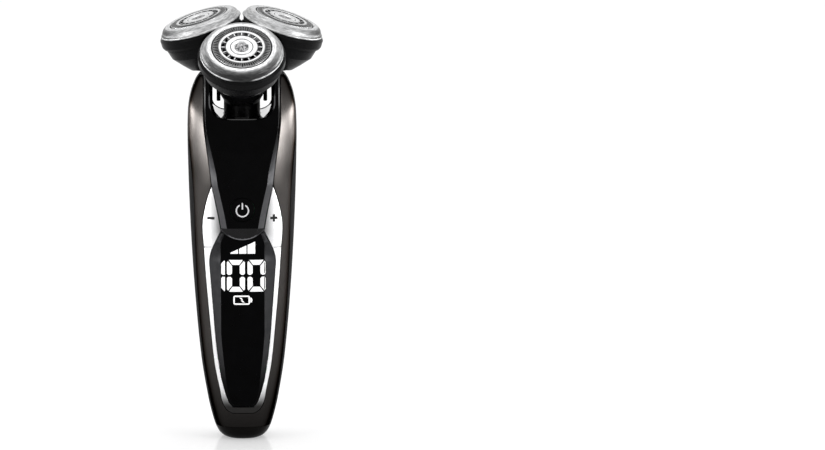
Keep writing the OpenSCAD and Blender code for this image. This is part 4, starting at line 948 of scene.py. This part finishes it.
cell.append([(x, BZ0 + z) for x, z in ((-1.35, 2.75), (-0.5, 2.75), (0.05, 2.0), (-0.35, 1.95), (0.75, 0.9),
                                       (-0.15, 0.95), (-0.75, 1.7), (-0.3, 1.78))])
mark("display_battery", cell, window_face, "handle", "display_lit", step=0.9)

power = arc_band(0, POWER_Z - 0.35, 2.3, 0.5, 118, 422, 30) + [box(-0.27, POWER_Z + 0.1, 0.27, POWER_Z + 2.6)]
mark("power_sign", power, power_face, "power_button", "print_white_painted_glow")


def key_bar(x, half_x, low, high):
    return box(x - half_x, KEY_Z + low, x + half_x, KEY_Z + high)


minus = [key_bar(-KEY_X, 1.4, -0.5, 0.5)]
plus = [key_bar(KEY_X, 1.4, -0.48, 0.48), key_bar(KEY_X, 0.45, 0.48, 1.4), key_bar(KEY_X, 0.45, -1.4, -0.48)]
mark("minus_sign", minus, trim_face, "minus_key", "mark_black")
mark("plus_sign", plus, trim_face, "plus_key", "mark_black")

# ---- shaving heads

# The shaving unit leans forward, and each head leans outward from its middle
UNIT_LEAN, HEAD_LEAN = 16, 20
UNIT_D, HEAD_SPREAD, TILT_DEPTH = 42, 0.78, 7.5
UNIT = Matrix.Translation((0, -0.009, 0.159)) @ Matrix.Rotation(math.radians(UNIT_LEAN), 4, "X")
HEAD_R = HEAD_SPREAD * UNIT_D / 2 + TILT_DEPTH * math.sin(math.radians(HEAD_LEAN))
BEARINGS = {"front": 270, "right": 30, "left": 150}


def head_matrix(word):
    """Place of a head, whose own Z is the axis of its guard."""
    return (UNIT @ Matrix.Rotation(math.radians(BEARINGS[word]), 4, "Z")
            @ Matrix.Translation((HEAD_R * MM, 0, 0)) @ Matrix.Rotation(math.radians(HEAD_LEAN), 4, "Y"))


def place_mesh(mesh, matrix):
    """Moves the mesh to its place, and keeps its own coordinates and a UV map with U round the axis."""
    local = mesh.attributes.new("local", "FLOAT_VECTOR", "POINT")
    for v in mesh.vertices:
        local.data[v.index].vector = v.co
    uv = mesh.uv_layers.new(name="round")
    for face in mesh.polygons:
        points = [mesh.vertices[v].co for v in face.vertices]
        turns = [math.atan2(co.y, co.x) / (2 * math.pi) for co in points]
        for i, co, turn in zip(face.loop_indices, points, turns):
            whole = 1 if max(turns) - turn > 0.5 else 0
            uv.data[i].uv = (turn + whole, 40 * math.hypot(co.x, co.y) - 40 * co.z)
    mesh.transform(matrix)


def lathe(name, profile, sides, matrix, look, body, replaced=(), shade=None):
    """Ring or disc turned from a closed profile of (radius, height), in the space of matrix."""
    bm = bmesh.new()
    turns = [2 * math.pi * i / sides for i in range(sides)]
    rings = [[(r * math.cos(a), r * math.sin(a), z) for a in turns] for r, z in profile + profile[:1]]
    add_strip(bm, rings, wrap=True)
    mesh = mesh_from(bm, name)
    if shade:
        add_shade(mesh, shade)
    place_mesh(mesh, matrix)
    add_object(mesh, look, body, replaced)


def soft_profile(points, radius, steps=3):
    """The closed profile with each corner rounded by a short curve."""
    result = []
    count = len(points)
    for i in range(count):
        p, q, r = (Vector((*points[(i + k) % count], 0)) for k in (-1, 0, 1))
        a, b = p - q, r - q
        cut_len = min(radius, a.length * 0.45, b.length * 0.45)
        start, end = q + a.normalized() * cut_len, q + b.normalized() * cut_len
        for k in range(steps + 1):
            t = k / steps
            point = start * (1 - t) ** 2 + q * 2 * t * (1 - t) + end * t ** 2
            result.append((point.x, point.y))
    return result


# (radius, height) round the bezel, along the guard's top and round the disc in its middle
BEZEL = [(11.5, -0.15), (11.65, 0.0), (12.9, 0.0), (13.35, -0.16), (13.8, -0.35), (14.25, -0.64),
         (14.6, -1.02), (14.9, -1.5), (15.12, -1.98), (15.3, -2.42), (15.55, -2.62), (15.76, -2.78),
         (15.8, -2.95), (15.8, -3.28), (15.0, -3.28), (15.0, -2.9), (13.8, -1.5), (12.1, -1.3), (12.1, -1.7),
         (11.5, -1.7)]
GUARD_TOP = [(0.0, 0.02), (1.3, 0.06), (2.6, 0.02), (2.75, 0.02), (2.9, 0.24), (3.0, 0.3), (3.95, 0.3),
             (4.05, 0.24), (4.12, 0.02), (4.35, 0.02), (4.42, 0.24), (4.55, 0.3), (5.85, 0.3), (6.0, 0.26),
             (6.1, 0.16), (7.85, 0.16), (7.95, 0.26), (8.1, 0.3), (8.7, 0.3), (8.85, 0.26), (8.95, 0.16),
             (10.85, 0.14), (10.95, 0.12), (11.05, 0.02), (11.1, -0.1), (11.1, -1.6)]
CAP_DISC = [(0, 0.16), (1.2, 0.18), (2.3, 0.14), (2.62, 0.05), (2.62, 0.0), (0, 0.0)]
GUARD_WALL = 0.35
# Openings of the guard: count, angles in degrees and radii
SLOTS, WINDOWS = 72, 16
SLOT_ANGLE, BAR_HALF_ANGLE = 3.1, 1.6
SLOT_TRACK, WINDOW_TRACK = (9, 10.8), (6.15, 7.8)
GUARD_ANGLES = sorted({round(360 * n / SLOTS + d, 3) for n in range(SLOTS) for d in (0.0, SLOT_ANGLE)}
                      | {round((360 * n / WINDOWS + d) % 360, 3) for n in range(WINDOWS)
                         for d in (-BAR_HALF_ANGLE, BAR_HALF_ANGLE)})


def is_open(r, angle):
    """Whether a slot or a window is there."""
    if SLOT_TRACK[0] < r < SLOT_TRACK[1]:
        return angle % (360 / SLOTS) < SLOT_ANGLE
    off_bar = abs((angle + 180 / WINDOWS) % (360 / WINDOWS) - 180 / WINDOWS)
    return WINDOW_TRACK[0] < r < WINDOW_TRACK[1] and off_bar > BAR_HALF_ANGLE


def guard_mesh(name):
    """Thin cap with an outer track of fine slots and an inner track of windows cut through it."""
    bm = bmesh.new()
    rings = [[bm.verts.new(Vector((r * math.cos(math.radians(a)), r * math.sin(math.radians(a)), z)) * MM)
              for a in GUARD_ANGLES] for r, z in GUARD_TOP]
    count = len(GUARD_ANGLES)
    for n in range(len(GUARD_TOP) - 1):
        middle = (GUARD_TOP[n][0] + GUARD_TOP[n + 1][0]) / 2
        for i in range(count):
            j = (i + 1) % count
            angle = (GUARD_ANGLES[i] + (GUARD_ANGLES[j] - GUARD_ANGLES[i]) % 360 / 2) % 360
            if not is_open(middle, angle):
                bm.faces.new((rings[n][i], rings[n][j], rings[n + 1][j], rings[n + 1][i]))
    bmesh.ops.remove_doubles(bm, verts=bm.verts[:], dist=1e-6)
    turn_outward(bm, (0, 0, 1))
    return to_mesh(bm, name)


def bezel_painted_reflection(x, y, z):
    """Painted reflection on the bezel: a bright flat rim, a dome that is darkest away from the other heads,
    and a lip that fades there.
    """
    r = math.hypot(x, y)
    away = x / max(r, 0.1)
    dome = lerp(0.6, lerp(0.24, 0.045, smooth((r - 13.2) / 1.7)), smooth((away + 0.1) / 0.78))
    top = lerp(0.86, dome, smooth((r - 12.9) / 0.9))
    lip = lerp(0.62, 0.05, smooth((away - 0.93) / 0.055))
    low = smooth((-2.55 - z) / 0.2)
    return top * (1 - low) + lip * low


def guard_painted_shade(x, y, z):
    """Painted shade on the guard: the slotted track, the windows' track and the groove lie deeper and are
    painted darker, and so are the rims.
    """
    r = math.hypot(x, y)

    def ring(low, high, soft):
        return smooth((r - low) / soft) * smooth((high - r) / soft)

    track = smooth((r - 8.75) / 0.15) * smooth((11.1 - r) / 0.1)
    inner = ring(6.0, 7.9, 0.1)
    groove = ring(4.08, 4.4, 0.05)
    rims = ring(8.6, 8.95, 0.1) + ring(5.8, 6.1, 0.1)
    return (1 - 0.72 * track) * (1 - 0.3 * inner) * (1 - 0.85 * groove) * (1 - 0.5 * min(1, rims))


# Each head's bezel carries painted reflection and its guard painted shade
for word in BEARINGS:
    place = head_matrix(word)
    body = "head_" + word
    lathe("bezel_ring_" + word, soft_profile(BEZEL, 0.1), 192, place, "bezel_steel", body,
          ("bezel_" + word,), shade=bezel_painted_reflection)
    cap_mesh = guard_mesh("guard_cap_" + word)
    add_shade(cap_mesh, guard_painted_shade)
    place_mesh(cap_mesh, place)
    cap = add_object(cap_mesh, "guard_steel", body, ("guard_" + word,))
    thicken(cap, GUARD_WALL)
    round_edges(cap, 0.04, 60)
    lathe("cap_disc_" + word, CAP_DISC, 64, place, "cap_texture", body)

# ---- floor, light and camera

FLOOR_HALF = 4000
FLOOR_LIFT = 0.34


def seen_ray(tree):
    """1 for camera, glossy and transmission rays, and 0 for the rays that carry the diffuse light."""
    path = add_node(tree, "LightPath").outputs
    value = path["Is Camera Ray"]
    for ray in ("Is Glossy Ray", "Is Transmission Ray"):
        value = add_node(tree, "Math", {0: value, 1: path[ray]}, operation="MAXIMUM").outputs[0]
    return value


def floor_material():
    """Plain white floor that keeps the shadow and is lifted to the background's white where it is seen."""
    m = bpy.data.materials.new("floor_white")
    m.use_nodes = True
    tree = m.node_tree
    tree.nodes.clear()
    lift = add_node(tree, "Math", {0: seen_ray(tree), 1: FLOOR_LIFT}, operation="MULTIPLY").outputs[0]
    bsdf = add_node(tree, "BsdfPrincipled", {
        "Base Color": (0.86, 0.86, 0.865, 1), "Roughness": 0.12, "IOR": 1.12,
        "Emission Color": (1, 1, 1, 1), "Emission Strength": lift})
    add_node(tree, "OutputMaterial", {"Surface": bsdf.outputs[0]})
    return m


bm = bmesh.new()
side = spread(-FLOOR_HALF, FLOOR_HALF, 16)
add_strip(bm, [[(x, y, 0) for x in side] for y in side])
floor = bpy.data.objects.new("studio_floor", mesh_from(bm, "studio_floor", (0, 0, 1)))
scene.collection.objects.link(floor)
floor.data.materials.append(floor_material())

# The world: plain white where it is seen, and for the diffuse light grey in front and white behind
world = bpy.data.worlds.new("studio")
scene.world = world
world.use_nodes = True
tree = world.node_tree
tree.nodes.clear()
coords = add_node(tree, "TexCoord").outputs["Generated"]
depth = add_node(tree, "SeparateXYZ", {0: coords}).outputs["Y"]
share = add_node(tree, "MapRange", {"From Min": -1, "From Max": 1, "Value": depth}).outputs[0]
greys = [(at, (grey, grey, grey)) for at, grey in ((0.0, 0.1), (1.0, 1.0), (0.22, 0.16), (0.5, 0.62))]
room = add_node(tree, "Background", {"Color": colour_ramp(tree, share, *greys)})
plain = add_node(tree, "Background", {"Color": (1, 1, 1, 1)})
mix = add_node(tree, "MixShader", {"Fac": seen_ray(tree), 1: room.outputs[0], 2: plain.outputs[0]})
add_node(tree, "OutputWorld", {"Surface": mix.outputs[0]})


def soft_box(name, azimuth, elevation, distance, width, height, radiance, aim=(0, 0, 0.09)):
    """Area lamp at that bearing from the object: azimuth 0 is the front, and +90 is the right."""
    data = bpy.data.lights.new(name, "AREA")
    data.shape = "RECTANGLE"
    data.size, data.size_y = width, height
    data.energy = radiance * math.pi * width * height
    obj = bpy.data.objects.new(name, data)
    a, e = math.radians(azimuth), math.radians(elevation)
    offset = Vector((math.sin(a) * math.cos(e), -math.cos(a) * math.cos(e), math.sin(e))) * distance
    obj.location = Vector(aim) + offset
    obj.rotation_mode = "QUATERNION"
    obj.rotation_quaternion = (-offset).to_track_quat("-Z", "Y")
    scene.collection.objects.link(obj)


HORNS = (0, 0, 0.122)
soft_box("key_right", 56, 24, 1.3, 0.6, 0.42, 4.0)
soft_box("fill_left", -58, 24, 1.3, 0.55, 0.42, 3.2)
soft_box("top_light", 180, 84, 1.2, 0.9, 0.7, 0.9)
soft_box("strip_right", 92, -3.0, 0.9, 1.9, 0.095, 10.0, HORNS)
soft_box("strip_left", -92, -3.0, 0.9, 1.9, 0.095, 8.5, HORNS)

camera_data = bpy.data.cameras.new("camera")
camera = bpy.data.objects.new("camera", camera_data)
scene.collection.objects.link(camera)
camera_data.lens = 285
camera_data.clip_start = 0.01
ELEVATION, DISTANCE, AIM_Z, YAW = 9.0, 2.5, 0.0815, 1.51
e = math.radians(ELEVATION)
camera.location = (0, -DISTANCE * math.cos(e), AIM_Z + DISTANCE * math.sin(e))
turn = Matrix.Rotation(math.radians(-YAW), 3, "Z") @ Matrix.Rotation(math.radians(90 - ELEVATION), 3, "X")
camera.rotation_euler = turn.to_euler()
scene.camera = camera

scene.view_settings.view_transform = "Standard"

bpy.context.view_layer.update()
